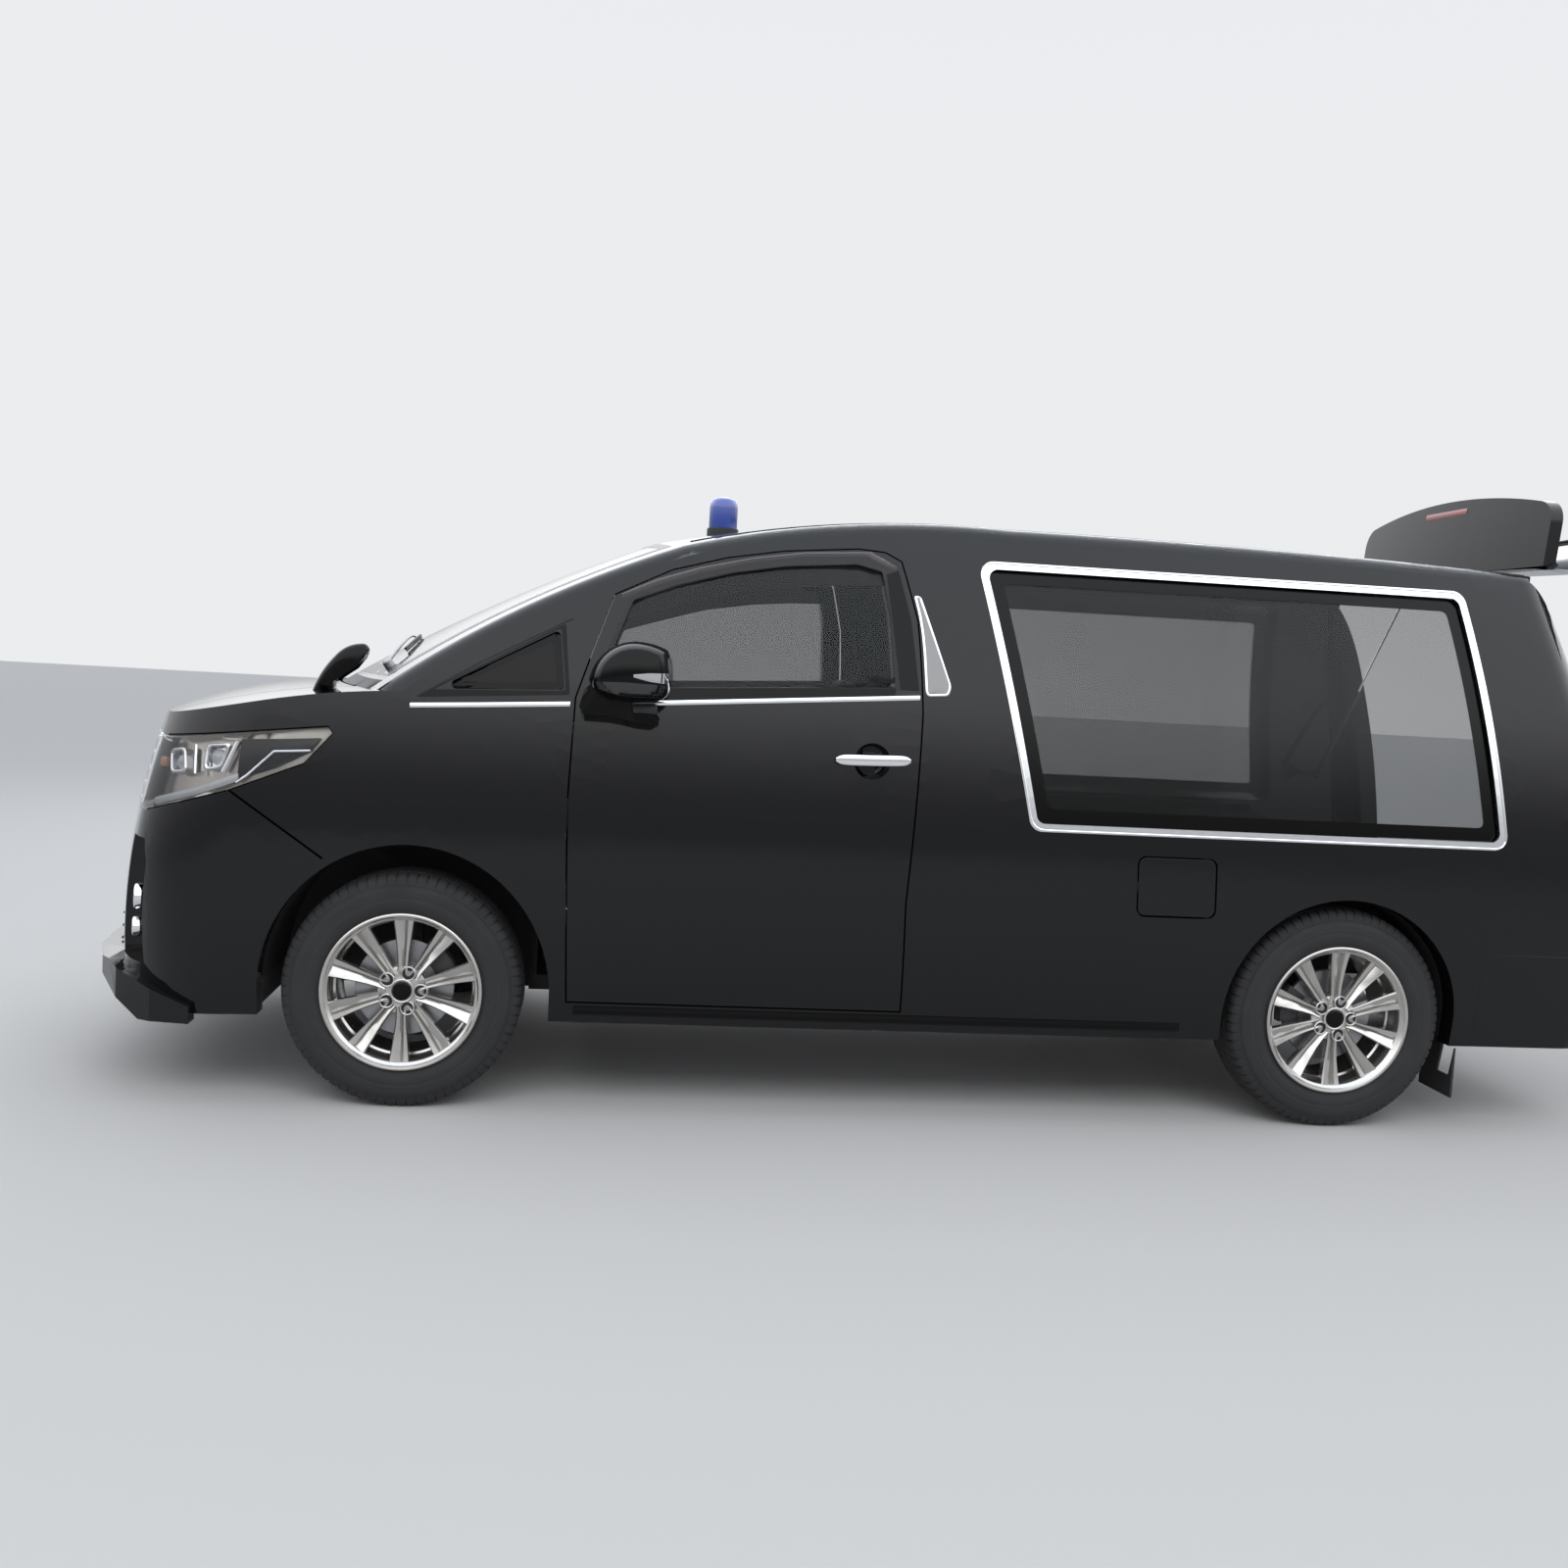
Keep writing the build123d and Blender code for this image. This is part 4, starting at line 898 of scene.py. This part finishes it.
for side, sign in sides:
    lampShells(side, sign)
    cast = Skin("headlamp_" + side).side(sign)
    bezels, bowls, bulbs, bars = Shape(), Shape(), Shape(), Shape()
    for outline, wall in lampParts["bowls"]:
        outer = rounded(outline, lampParts["bowlRound"], 5)
        inner = rounded(grow(outline, -wall), lampParts["wallRound"], 5)
        deep = rounded(grow(outline, -wall * 1.2), lampParts["wallRound"], 5)
        patch(bezels, cast, outer, inner, lift=-0.012, depth=0.028, dome=0.003, closed=True, count=2)
        patch(bowls, cast, *halves(deep), lift=-0.034, depth=0.004, count=2)
        place, normal = cast(*[sum(point[k] for point in outline) / 4 for k in (0, 1)])
        bulbs.lathe(lampParts["bulb"], facing(place - normal * lampParts["bulbDepth"], normal), 24)
    for first, second in lampParts["bars"]:
        patch(bars, cast, first, second, lift=-0.01, depth=0.02, dome=0.003, count=8)
    line = lampParts["line"]
    patch(bars, cast, line, moved(line, 0.003, -0.007), lift=-0.008, depth=0.004, dome=0.002, count=8)
    bezels.piece("lampBezels." + side, chrome, "lamp_housing")
    bowls.piece("lampBowls." + side, mirrorSilver, "lamp_housing")
    bulbs.piece("lampBulbs." + side, clearLens, "window_glass")
    bars.piece("lampBars." + side, chrome, "lamp_housing")
    line, amber = lampParts["strip"], lampParts["amber"]
    strip("lampStrip." + side, cast, moved(line, -0.004, 0.012), moved(line, 0, -0.01), clearLens,
          "window_glass", lift=-0.008, depth=0.01, dome=0.004, count=10)
    strip("lampAmber." + side, cast, amber[:2], amber[:1:-1], amberLens, "window_glass",
          lift=-0.007, depth=0.008, dome=0.003, count=4)
    frontCast = Skin("headlamp_" + side, "front_bumper").front()
    strip("ladderBack." + side, frontCast, flipped(ladder["backIn"], sign),
          flipped(ladder["backOut"], sign), blackGloss, "trim_chrome", lift=0.001,
          depth=0.003, columns=6, count=16)
    rungs = Shape()
    for k in range(ladder["rungs"]):
        z = ladder["firstRung"] + ladder["rungStep"] * k
        upper = [(y, z + half) for y, half in ladder["rung"]]
        lower = [(y, z - half) for y, half in ladder["rung"]]
        patch(rungs, frontCast, flipped(upper, sign), flipped(lower, sign), lift=0.007, depth=0.008,
              dome=0.003, count=8)
    patch(rungs, frontCast, flipped(ladder["railIn"], sign), flipped(ladder["railOut"], sign),
          lift=0.005, depth=0.006, dome=0.002, count=16)
    rungs.piece("ladderRungs." + side, chrome, "trim_chrome")
    strip("lampRearPlate." + side, cast, *lampParts["rearPlate"], lampDark, "lamp_housing",
          lift=-0.02, depth=0.004, dome=0.003, count=10)

# fine seams that the solids leave shut, laid as near-black strips of painted shade that stand in for the
# shadow inside an open gap: each line, and how far its other edge is from it
seams = (([(-0.519, 0.957), (-0.217, 0.747)], (0.0045, 0.0045)),
         ([(-0.79, 0.8735), (-0.521, 0.9555), (-0.304, 1.0455), (-0.2235, 1.14), (-0.238, 1.1595),
           (-0.5, 1.1295), (-0.735, 1.1035)], (0, 0.004)))
for side, sign in sides:
    corner = Skin("headlamp_" + side, "fender_" + side, "front_bumper", "side_" + side, "windscreen")
    cast, lines = corner.side(sign), Shape()
    for run, wide in seams:
        patch(lines, cast, run, moved(run, *wide), lift=0.0006, depth=0.002, columns=2, count=12)
    lines.piece("frontSeams." + side, paintedGapShade, "dark_plastic")

# bumper: mesh and round lamps in each corner recess, intake slats, blank plates
print("bumper")
fog = {
    "outline": [(-0.806, 0.424), (-0.664, 0.424), (-0.681, 0.78), (-0.784, 0.78), (-0.806, 0.716)],
    "pitch": 0.017, "wire": 0.0017, "slant": 0.62, "step": 0.006, "stand": 0.006, "clear": 0.01,
    "lamps": ((-0.728, 0.603, 0.036), (-0.722, 0.508, 0.027)),
    # profile rows give how far beyond the lamp's radius, and the height
    "ring": ((-0.004, -0.012), (0.004, -0.012), (0.006, 0.0), (0.0045, 0.008), (0.001, 0.011),
             (-0.004, 0.009), (-0.006, 0.004)),
}
slat = {"x": -0.948, "z": (0.335, 0.375, 0.415, 0.455, 0.495), "half": 0.462, "narrowing": 0.16,
        "post": 0.082}
# blank plates: where each is felt, its height, and how far plate and carrier stand out
plates = {"front": (Skin("front_bumper").front(), 0.615, -0.007, -0.001),
          "rear": (Skin("rear_bumper").rear(), 0.445, 0.006, 0.001)}
bumperCast = plates["front"][0]


def inOutline(point, outline):
    within = False
    for a, b in zip(outline, outline[1:] + outline[:1]):
        if (a[1] > point[1]) != (b[1] > point[1]):
            if point[0] < (b[0] - a[0]) * (point[1] - a[1]) / (b[1] - a[1]) + a[0]:
                within = not within
    return within


def meshWires(mesh, sign, k, lean):
    # one slanted wire, cut where a lamp or the edge of the recess is in its way
    left, bottom = fog["outline"][0]
    run = []
    for step in range(61):
        z = bottom + step * fog["step"]
        y = left + k * fog["pitch"] + lean * (z - bottom) * fog["slant"]
        free = all(math.dist((y, z), (cy, cz)) > r + fog["clear"] for cy, cz, r in fog["lamps"])
        if inOutline((y, z), fog["outline"]) and free:
            place, normal = bumperCast(-sign * y, z)
            run.append(place + normal * fog["stand"])
        else:
            if len(run) > 2:
                mesh.tube(run, fog["wire"], 4)
            run = []


for side, sign in sides:
    mesh, rims, glassForms, bowls = Shape(), Shape(), Shape(), Shape()
    for lean in (1, -1):
        for k in range(-40, 60):
            meshWires(mesh, sign, k, lean)
    mesh.piece("fogMesh." + side, darkPlastic, "dark_plastic")
    for y, z, radius in fog["lamps"]:
        place, normal = bumperCast(-sign * y, z)
        lampPlace = facing(place, (normal * 0.5 + Vector((-1.0, 0, 0))).normalized())
        inner = radius - 0.005
        rims.lathe([(radius + out, h) for out, h in fog["ring"]], lampPlace, 36)
        glassForms.lathe([(0.0001, 0.002), (inner, 0.002), (inner, 0.004), (radius * 0.6, 0.008),
                          (0.0001, 0.01)], lampPlace, 32)
        bowls.lathe([(0.0001, -0.002), (inner, -0.002), (inner, 0.001), (0.0001, 0.0005)], lampPlace, 32)
    rims.piece("fogRings." + side, chrome, "trim_chrome")
    glassForms.piece("fogLenses." + side, lampGlass, "window_glass")
    bowls.piece("fogBowls." + side, mirrorSilver, "lamp_housing")
slats = Shape()
for z in slat["z"]:
    half = slat["half"] - (z - 0.3) * slat["narrowing"]
    slats.box(at(slat["x"], 0, z), (0.022, 2 * half, 0.008))
for k in range(-5, 6):
    slats.box(at(slat["x"] + 0.008, k * slat["post"], 0.411), (0.01, 0.007, 0.206), 0.002)
slats.piece("intakeSlats", darkPlastic, "dark_plastic")
for end, (cast, z, plateOut, carrierOut) in plates.items():
    place, normal = cast(0.0, z)
    made = Shape().box(place + Vector((plateOut, 0, 0)), (0.004, 0.44, 0.12), 0.0018, segments=3)
    made.piece(end + "Plate", plateWhite, "window_frame")
    made = Shape().box(place + Vector((carrierOut, 0, 0)), (0.008, 0.4, 0.09))
    made.piece(end + "PlateCarrier", darkPlastic, "dark_plastic")

# mirrors
print("mirrors")
mirror = {
    "lampHigh": [(0.655, 1.366), (0.7, 1.372), (0.757, 1.374)],
    "lampLow": [(0.655, 1.358), (0.7, 1.348), (0.757, 1.342)],
    "skirtHigh": [(0.548, 1.34), (0.64, 1.342), (0.76, 1.338)],
    "skirtLow": [(0.556, 1.318), (0.64, 1.3), (0.748, 1.302)],
    "glass": [(0.955, 1.425), (1.072, 1.42), (1.075, 1.318), (0.96, 1.31)],
    "fenderGlass": [(-0.728, 1.392), (-0.784, 1.392), (-0.784, 1.352), (-0.728, 1.35)],
}


def fromBehind(skin, x):
    # the face of a mirror that looks to the rear
    return lambda y, z: skin.touch(at(x, y, z), (-1, 0, 0))


for side, sign in sides:
    head, door = Skin("door_mirror_" + side), "door_" + side
    cast = head.side(sign)
    strip("mirrorLamp." + side, cast, mirror["lampHigh"], mirror["lampLow"], mirrorSilver,
          "trim_chrome", door, lift=0.0004, depth=0.002, dome=0.0001, columns=6, count=10)
    strip("mirrorSkirt." + side, cast, mirror["skirtHigh"], mirror["skirtLow"], darkPlastic,
          "dark_plastic", door, lift=0.0004, depth=0.002, dome=0.0001, columns=4, count=10)
    outline = rounded(flipped(mirror["glass"], sign), 0.03, 5)
    strip("mirrorGlass." + side, fromBehind(head, 0.95), *halves(outline), mirrorSilver,
          "window_glass", door, lift=0.0015, depth=0.003, columns=8, count=2)
    bracket = Shape().box(at(0.69, sign * 0.975, 1.262), (0.085, 0.03, 0.03), 0.008)
    bracket.piece("mirrorBracket." + side, darkPlastic, "dark_plastic", door)
strip("fenderMirrorGlass", fromBehind(Skin("fender_mirror"), 0.05),
      *halves(rounded(mirror["fenderGlass"], 0.014)), mirrorSilver, "window_glass",
      lift=0.001, depth=0.002, columns=4, count=2)

# beacon: ribbed blue dome on a black foot
print("beacon")
beacon = {
    "x": 0.963, "ribs": 36, "ribDepth": 0.0012, "ribStart": 0.006, "footSink": 0.016,
    "dome": [(0.0001, 1.902), (0.05, 1.902), (0.0512, 1.908), (0.0512, 1.975), (0.0496, 1.99),
             (0.044, 2.003), (0.034, 2.0105), (0.018, 2.014), (0.0001, 2.0145)],
    "foot": [(0.0575, 1.8965), (0.056, 1.9015), (0.0515, 1.9035), (0.0001, 1.9035)],
}
beaconPlace, count = at(beacon["x"], 0, 0), beacon["ribs"] * 4
rows = []
for k in range(count):
    angle = math.tau * k / count
    wave = beacon["ribDepth"] * (0.5 - 0.5 * math.cos(math.tau * k / 4))
    row = []
    for r, h in beacon["dome"]:
        ribbed = r - wave if r > beacon["ribStart"] else r
        row.append(beaconPlace + Vector((ribbed * math.cos(angle), ribbed * math.sin(angle), h)))
    rows.append(row)
Shape().rings(rows, True).piece("beaconDome", blueLens, "beacon_lens", "body", "beacon", angle=50)
sunk = Skin("roof").above()(beacon["x"], 0.0)[0].z - beacon["footSink"]
foot = Shape().lathe([(0.0001, sunk), (0.0575, sunk)] + beacon["foot"], Matrix.Translation(beaconPlace))
foot.piece("beaconFoot", softRubber, "dark_plastic")

# tail lamps and high brake lamp
tail = {"front": 3.8, "rear": 3.9, "bars": (1.08, 1.3), "half": 0.006,
        "clearRear": 3.898, "clearHigh": 1.255, "clearLow": 1.135}


def level(start, end, z):
    return [(start, z), (end, z)]


for side, sign in sides:
    cast, bars = Skin("tail_lamp_" + side).side(sign), Shape()
    for z in tail["bars"]:
        patch(bars, cast, level(tail["front"], tail["rear"], z + tail["half"]),
              level(tail["front"], tail["rear"], z - tail["half"]), lift=0.0025, depth=0.004,
              dome=0.001, count=20)
    bars.piece("tailBars." + side, chrome, "trim_chrome")
    strip("tailClear." + side, cast, level(tail["front"], tail["clearRear"], tail["clearHigh"]),
          level(tail["front"], tail["clearRear"], tail["clearLow"]), clearLens, "tail_lamp_lens",
          lift=0.0022, depth=0.003, dome=0.0006, columns=14, count=20)

# open hatch: lining under it, latch, handle, wiper and the lamp in its wing
print("hatch")
hatch = {
    "liningX": (4.46, 4.86), "lining": ((-0.56, -0.02), (0.02, 0.56)), "latchX": 4.955,
    "handleX": (4.56, 4.6), "handleY": 0.3, "wiperSteps": 10, "lampY": 0.14, "lampZ": (2.15, 2.128),
}
hatchSkin, wingSkin = Skin("hatch"), Skin("hatch_spoiler")
lining = Shape()


def under(x, y):
    return hatchSkin.touch(at(x, y, 1.7), (0, 0, 1))


def wing(y, z):
    return wingSkin.touch(at(3.6, y, z), (1, 0, 0))


for first, second in hatch["lining"]:
    patch(lining, under, *([(x, y) for x in hatch["liningX"]] for y in (first, second)), lift=0.008,
          depth=0.01, dome=0.006, columns=8, count=8)
lining.piece("hatchLining", darkPlastic, "dark_plastic", "hatch")
place, normal = under(hatch["latchX"], 0.0)
latch = Shape().box(place + normal * 0.01, (0.05, 0.09, 0.02), 0.005)
latch.piece("hatchLatch", steel, "chassis_metal", "hatch")
handleEdges = ([(x, -hatch["handleY"]), (x, hatch["handleY"])] for x in hatch["handleX"])
strip("hatchHandle", hatchSkin.above(), *handleEdges, chrome, "trim_chrome", "hatch", lift=0.003,
      depth=0.005, dome=0.008, columns=6, count=16)
cast, path = Skin("hatch_glass", "hatch").above(), []
for k in range(hatch["wiperSteps"]):
    place, normal = cast(4.44 - 0.012 * k, 0.02 + 0.034 * k)
    path.append(place + Vector((0, 0, 0.012)))
rearWiper = Shape().tube(path, [0.008 - 0.0004 * k for k in range(hatch["wiperSteps"])])
rearWiper.piece("hatchWiper", darkPlastic, "dark_plastic", "hatch")
strip("highBrakeLamp", wing, *(level(-hatch["lampY"], hatch["lampY"], z) for z in hatch["lampZ"]),
      redLens, "tail_lamp_lens", "hatch", lift=0.001, depth=0.003, dome=0.001, count=14)

# load deck: metal caps on both rails and rollers between them
print("deck")
deck = {
    "railX": 2.68, "railY": 0.285, "railTop": 0.845, "rollers": 6, "firstRoller": 1.86,
    "rollerStep": 0.33, "rollerZ": 0.8355, "blockY": 0.247, "blockZ": 0.8325,
    # half of a roller: rows give the radius and the distance from its middle
    "roller": [(0.0001, 0.235), (0.011, 0.235), (0.013, 0.232), (0.013, 0.03), (0.01, 0.026)],
}
rails, rollers, blocks = Shape(), Shape(), Shape()
for sign in (-1, 1):
    railPlace = at(deck["railX"], sign * deck["railY"], deck["railTop"] + 0.0015)
    rails.box(railPlace, (1.958, 0.034, 0.003), 0.001)
rails.piece("railCaps", polishedStrip, "window_frame")
profile = [(r, -h) for r, h in deck["roller"]] + deck["roller"][::-1]
sideways = Matrix.Rotation(math.radians(90), 4, "X")
for i in range(deck["rollers"]):
    x = deck["firstRoller"] + i * deck["rollerStep"]
    rollers.lathe(profile, Matrix.Translation(at(x, 0, deck["rollerZ"])) @ sideways, 24)
    for sign in (-1, 1):
        blocks.box(at(x, sign * deck["blockY"], deck["blockZ"]), (0.034, 0.016, 0.024), 0.004)
rollers.piece("deckRollers", steel, "chassis_metal")
blocks.piece("rollerBlocks", darkPlastic, "dark_plastic")

# seats: crowned cushions with sewn channels and piping round the edge
print("seats")
seats = {
    "y": 0.39, "tilt": 12, "piping": 0.0042, "pipingSteps": 56, "cuts": 22, "flat": 7, "deepFlat": 4.5,
    "channelDepth": 0.0095, "channelWidth": 0.045, "bolster": 0.014, "bolsterStart": 0.62,
    "channels": (-0.55, -0.19, 0.19, 0.55), "postY": 0.055, "postZ": 0.062, "postRound": 0.006,
    "runnerY": 0.2,
}
cushions = {
    "seatCushion": {"size": (0.47, 0.47, 0.126), "x": 1.14, "z": 0.565, "upright": False,
                    "crown": 0.012, "sewn": True, "fill": 0.8},
    "seatBack": {"size": (0.606, 0.47, 0.116), "x": 1.4, "z": 0.9, "upright": True,
                 "crown": 0.012, "sewn": True, "fill": 0.8},
    "headRest": {"size": (0.166, 0.244, 0.086), "x": 1.49, "z": 1.29, "upright": True,
                 "crown": 0.01, "sewn": False, "fill": 0.9},
}


def stretched(form, half, crown, sewn):
    # a cube made into a pad: X along the seat, Y across, Z out of the face that is sat on
    for vert in form.verts:
        p = vert.co.copy()
        length = abs(p.x) ** seats["flat"] + abs(p.y) ** seats["flat"] + abs(p.z) ** seats["deepFlat"]
        x, y, z = p / max(length ** (1 / 6.2), 0.001)
        face = max(0.0, (1 - x ** 4) * (1 - y ** 4))
        out = z * (half.z - crown)
        if z > 0:
            sunk = 0.0
            for line in seats["channels"] if sewn else ():
                near = math.exp(-((y - line) / seats["channelWidth"]) ** 2)
                sunk += seats["channelDepth"] * near * max(0.0, 1 - x ** 8)
            beyond = max(0.0, abs(y) - seats["bolsterStart"]) / (1 - seats["bolsterStart"])
            out += crown * face - sunk + seats["bolster"] * beyond * (1 - min(1.0, abs(y)) ** 8)
        elif not sewn:
            out -= 0.4 * crown * face
        pullX = 1.0 - 0.022 * math.cos(math.pi * y / 2) ** 2
        pullY = 1.0 - 0.02 * math.cos(math.pi * x / 2) ** 2
        vert.co = Vector((x * half.x * pullX, y * half.y * pullY, out))


def cushion(name, size, place, crown, sewn):
    form = bmesh.new()
    bmesh.ops.create_cube(form, size=2.0)
    bmesh.ops.subdivide_edges(form, edges=form.edges[:], cuts=seats["cuts"], use_grid_fill=True)
    half = Vector(size) / 2
    stretched(form, half, crown, sewn)
    mesh = bpy.data.meshes.new(name)
    form.to_mesh(mesh)
    form.free()
    mesh.transform(place)
    made = bpy.data.objects.new(name, mesh)
    bpy.context.scene.collection.objects.link(made)
    mesh.materials.append(seatCloth.material)
    mesh.shade_smooth()
    soft = made.modifiers.new("soft", "SUBSURF")
    soft.levels = 1
    soft.render_levels = 1
    run = []
    for k in range(seats["pipingSteps"]):
        a = math.tau * k / seats["pipingSteps"]
        cx, cy = math.cos(a), math.sin(a)
        reach = (abs(cx) ** seats["flat"] + abs(cy) ** seats["flat"]) ** (-1 / 6.2)
        run.append(place @ Vector((cx * reach * half.x * 0.978, cy * reach * half.y * 0.98,
                                   (half.z - crown) * 0.62)))
    piping = Shape().tube(run, seats["piping"], 6, closed=True)
    piping.piece(name + ".piping", softRubber, "seat_cloth")
    return made


for side, sign in sides:
    y, tilt = seats["y"] * sign, tipped(seats["tilt"])
    for name, pad in cushions.items():
        place = Matrix.Translation(at(pad["x"], y, pad["z"]))
        if pad["upright"]:
            place = place @ tilt @ tipped(-90)
        made = cushion(name + "." + side, pad["size"], place, pad["crown"], pad["sewn"])
        finishPiece(made, "body", "seat_cloth", "seat_" + side)
    mounting = Shape().box(at(1.145, y, 0.422), (0.36, 0.35, 0.16), 0.016, segments=3)
    for across in (-seats["postY"], seats["postY"]):
        post = Matrix.Translation(at(1.462, y, 1.2)) @ tilt
        ends = [post @ Vector((0, across, up)) for up in (-seats["postZ"], seats["postZ"])]
        mounting.tube(ends, seats["postRound"], 10)
    for across in (-seats["runnerY"], seats["runnerY"]):
        mounting.box(at(1.145, y + across * 0.8, 0.347), (0.42, 0.03, 0.014))
    mounting.piece("seatFrame." + side, darkPlastic, "dark_plastic")

# dashboard: dial hood, screen and vents, and the pad of the steering wheel
print("dashboard")
dash = {
    "dialY": 0.39, "dialTip": 20, "screenTip": 24, "ventY": (-0.7, -0.21, 0.21, 0.7), "vents": 4,
    "pad": [(0.0001, 0.004), (0.056, 0.004), (0.058, 0.012), (0.05, 0.024), (0.03, 0.03),
            (0.0001, 0.032)], "padPlace": (0.8, 0.39, 1.01), "padTip": 62,
}
hoods = Shape()
hoods.box(at(0.6, dash["dialY"], 1.12), (0.19, 0.33, 0.085), 0.03, tipped(dash["dialTip"]), 4)
hoods.box(at(0.545, 0, 1.115), (0.18, 0.27, 0.1), 0.02, tipped(dash["screenTip"]), 3)
hoods.piece("dashHoods", darkPlastic, "dark_plastic")
vents = Shape()
for y in dash["ventY"]:
    for k in range(dash["vents"]):
        vents.box(at(0.648 - 0.006 * k, y, 1.03 + 0.014 * k), (0.016, 0.1, 0.003), 0.001)
    for x, z in ((0.65, 1.012), (0.622, 1.092)):
        vents.box(at(x, y, z), (0.016, 0.12, 0.006), 0.002)
vents.piece("dashVents", steel, "dark_plastic")
panel = Shape().box(at(0.64, 0, 1.112), (0.01, 0.235, 0.08), 0.004, tipped(dash["screenTip"]), 3)
panel.box(at(0.692, dash["dialY"], 1.112), (0.01, 0.27, 0.058), 0.004, tipped(dash["dialTip"]), 3)
panel.piece("dashScreens", darkGlass, "window_glass")
padPlace = Matrix.Translation(at(*dash["padPlace"])) @ tipped(dash["padTip"])
wheelPad = Shape().lathe(dash["pad"], padPlace, 36)
wheelPad.piece("wheelPad", darkPlastic, "dark_plastic", "steering_wheel")

# bonnet and roof details
print("details")
details = {"roofLine": ((0.82, 0.64), (1.3, 0.614), (2.5, 0.609), (3.6, 0.606)),
           "mouldingWidth": 0.012, "jetX": -0.36, "jetY": 0.3}
roofCast, bonnetCast = Skin("roof").above(), Skin("bonnet").above()
for side, sign in sides:
    outer = [(x, sign * y) for x, y in details["roofLine"]]
    inner = [(x, sign * (y - details["mouldingWidth"])) for x, y in details["roofLine"]]
    strip("roofMoulding." + side, roofCast, outer, inner, softRubber, "dark_plastic",
          lift=0.002, depth=0.004, dome=0.001, columns=3, count=24)
jets = Shape()
for sign in (-1, 1):
    place, normal = bonnetCast(details["jetX"], sign * details["jetY"])
    jets.box(place + normal * 0.003, (0.03, 0.022, 0.01), 0.004)
jets.piece("washerJets", darkPlastic, "dark_plastic", "bonnet")

# studio
print("studio")
scene = bpy.context.scene
scene.view_settings.view_transform = "Standard"
studio = {
    "floorSize": 60.0, "floorColor": (0.8, 0.8, 0.8), "worldLight": 0.5, "worldSeen": 0.88,
    "horizon": 0.55, "zenith": 2.4, "fullHeight": 0.42,
    # lamps: place, aim, width, height and power
    "keyLight": ((1.0, -7.5, 7.0), (1.6, 0, 0.9), 11.0, 5.0, 300.0),
    "topLight": ((1.8, 0.5, 7.5), (1.8, 0, 1.0), 9.0, 5.0, 85.0),
    "farLight": ((3.0, 7.5, 5.0), (1.8, 0, 0.9), 9.0, 4.0, 150.0),
}
photo = {"place": (0.6126, -5.3947, 1.4), "turn": (85.6102, -3.1896, -6.3743), "lens": 33.75,
         "sensor": 36.0, "clipEnd": 200.0}

floorPaint = Paint("floorPaint", studio["floorColor"], Roughness=0.9)
ground = bmesh.new()
bmesh.ops.create_grid(ground, x_segments=2, y_segments=2, size=studio["floorSize"])
fromForm("studioFloor", ground, floorPaint)

world = bpy.data.worlds.new("studioWorld")
scene.world = world
world.use_nodes = True
sky = Sockets(world.node_tree)
# polished pieces see a dull horizon below a bright sky; the camera sees an even white
skyHeight = sky.node("SeparateXYZ", {}, {"Vector": sky.node("TexCoord", {}, {}, "Generated")}, "Z")
glow = sky.node("MapRange", {"interpolation_type": "SMOOTHSTEP"}, {
    "Value": skyHeight, "From Min": 0.0, "From Max": studio["fullHeight"], "To Min": studio["horizon"],
    "To Max": studio["zenith"]})
strength = studio["worldLight"]
seen = {"Is Camera Ray": studio["worldSeen"], "Is Transmission Ray": studio["worldSeen"],
        "Is Glossy Ray": glow}
for ray, value in seen.items():
    strength = sky.node("LightPath", {}, {}, ray) * (value - studio["worldLight"]) + strength
skyTones = ((0.3, (0.95, 0.96, 0.98, 1)), (0.9, (0.86, 0.92, 1.0, 1)))
tone = sky.node("ValToRGB", {"stops": skyTones}, {"Fac": skyHeight})
sky.put(world.node_tree.nodes["Background"], {"Color": tone, "Strength": strength})


def softBox(name, place, aim, width, height, power):
    lamp = bpy.data.lights.new(name, "AREA")
    lamp.shape = "RECTANGLE"
    lamp.size = width
    lamp.size_y = height
    lamp.energy = power
    made = bpy.data.objects.new(name, lamp)
    scene.collection.objects.link(made)
    made.visible_glossy = False
    made.location = at(*place)
    made.rotation_euler = (at(*aim) - at(*place)).to_track_quat("-Z", "Y").to_euler()


for name in ("keyLight", "topLight", "farLight"):
    softBox(name, *studio[name])

photoLens = bpy.data.cameras.new("photoCamera")
photoLens.lens = photo["lens"]
photoLens.sensor_width = photo["sensor"]
photoLens.clip_end = photo["clipEnd"]
camera = bpy.data.objects.new("photoCamera", photoLens)
scene.collection.objects.link(camera)
camera.location = at(*photo["place"])
camera.rotation_euler = [math.radians(angle) for angle in photo["turn"]]
scene.camera = camera
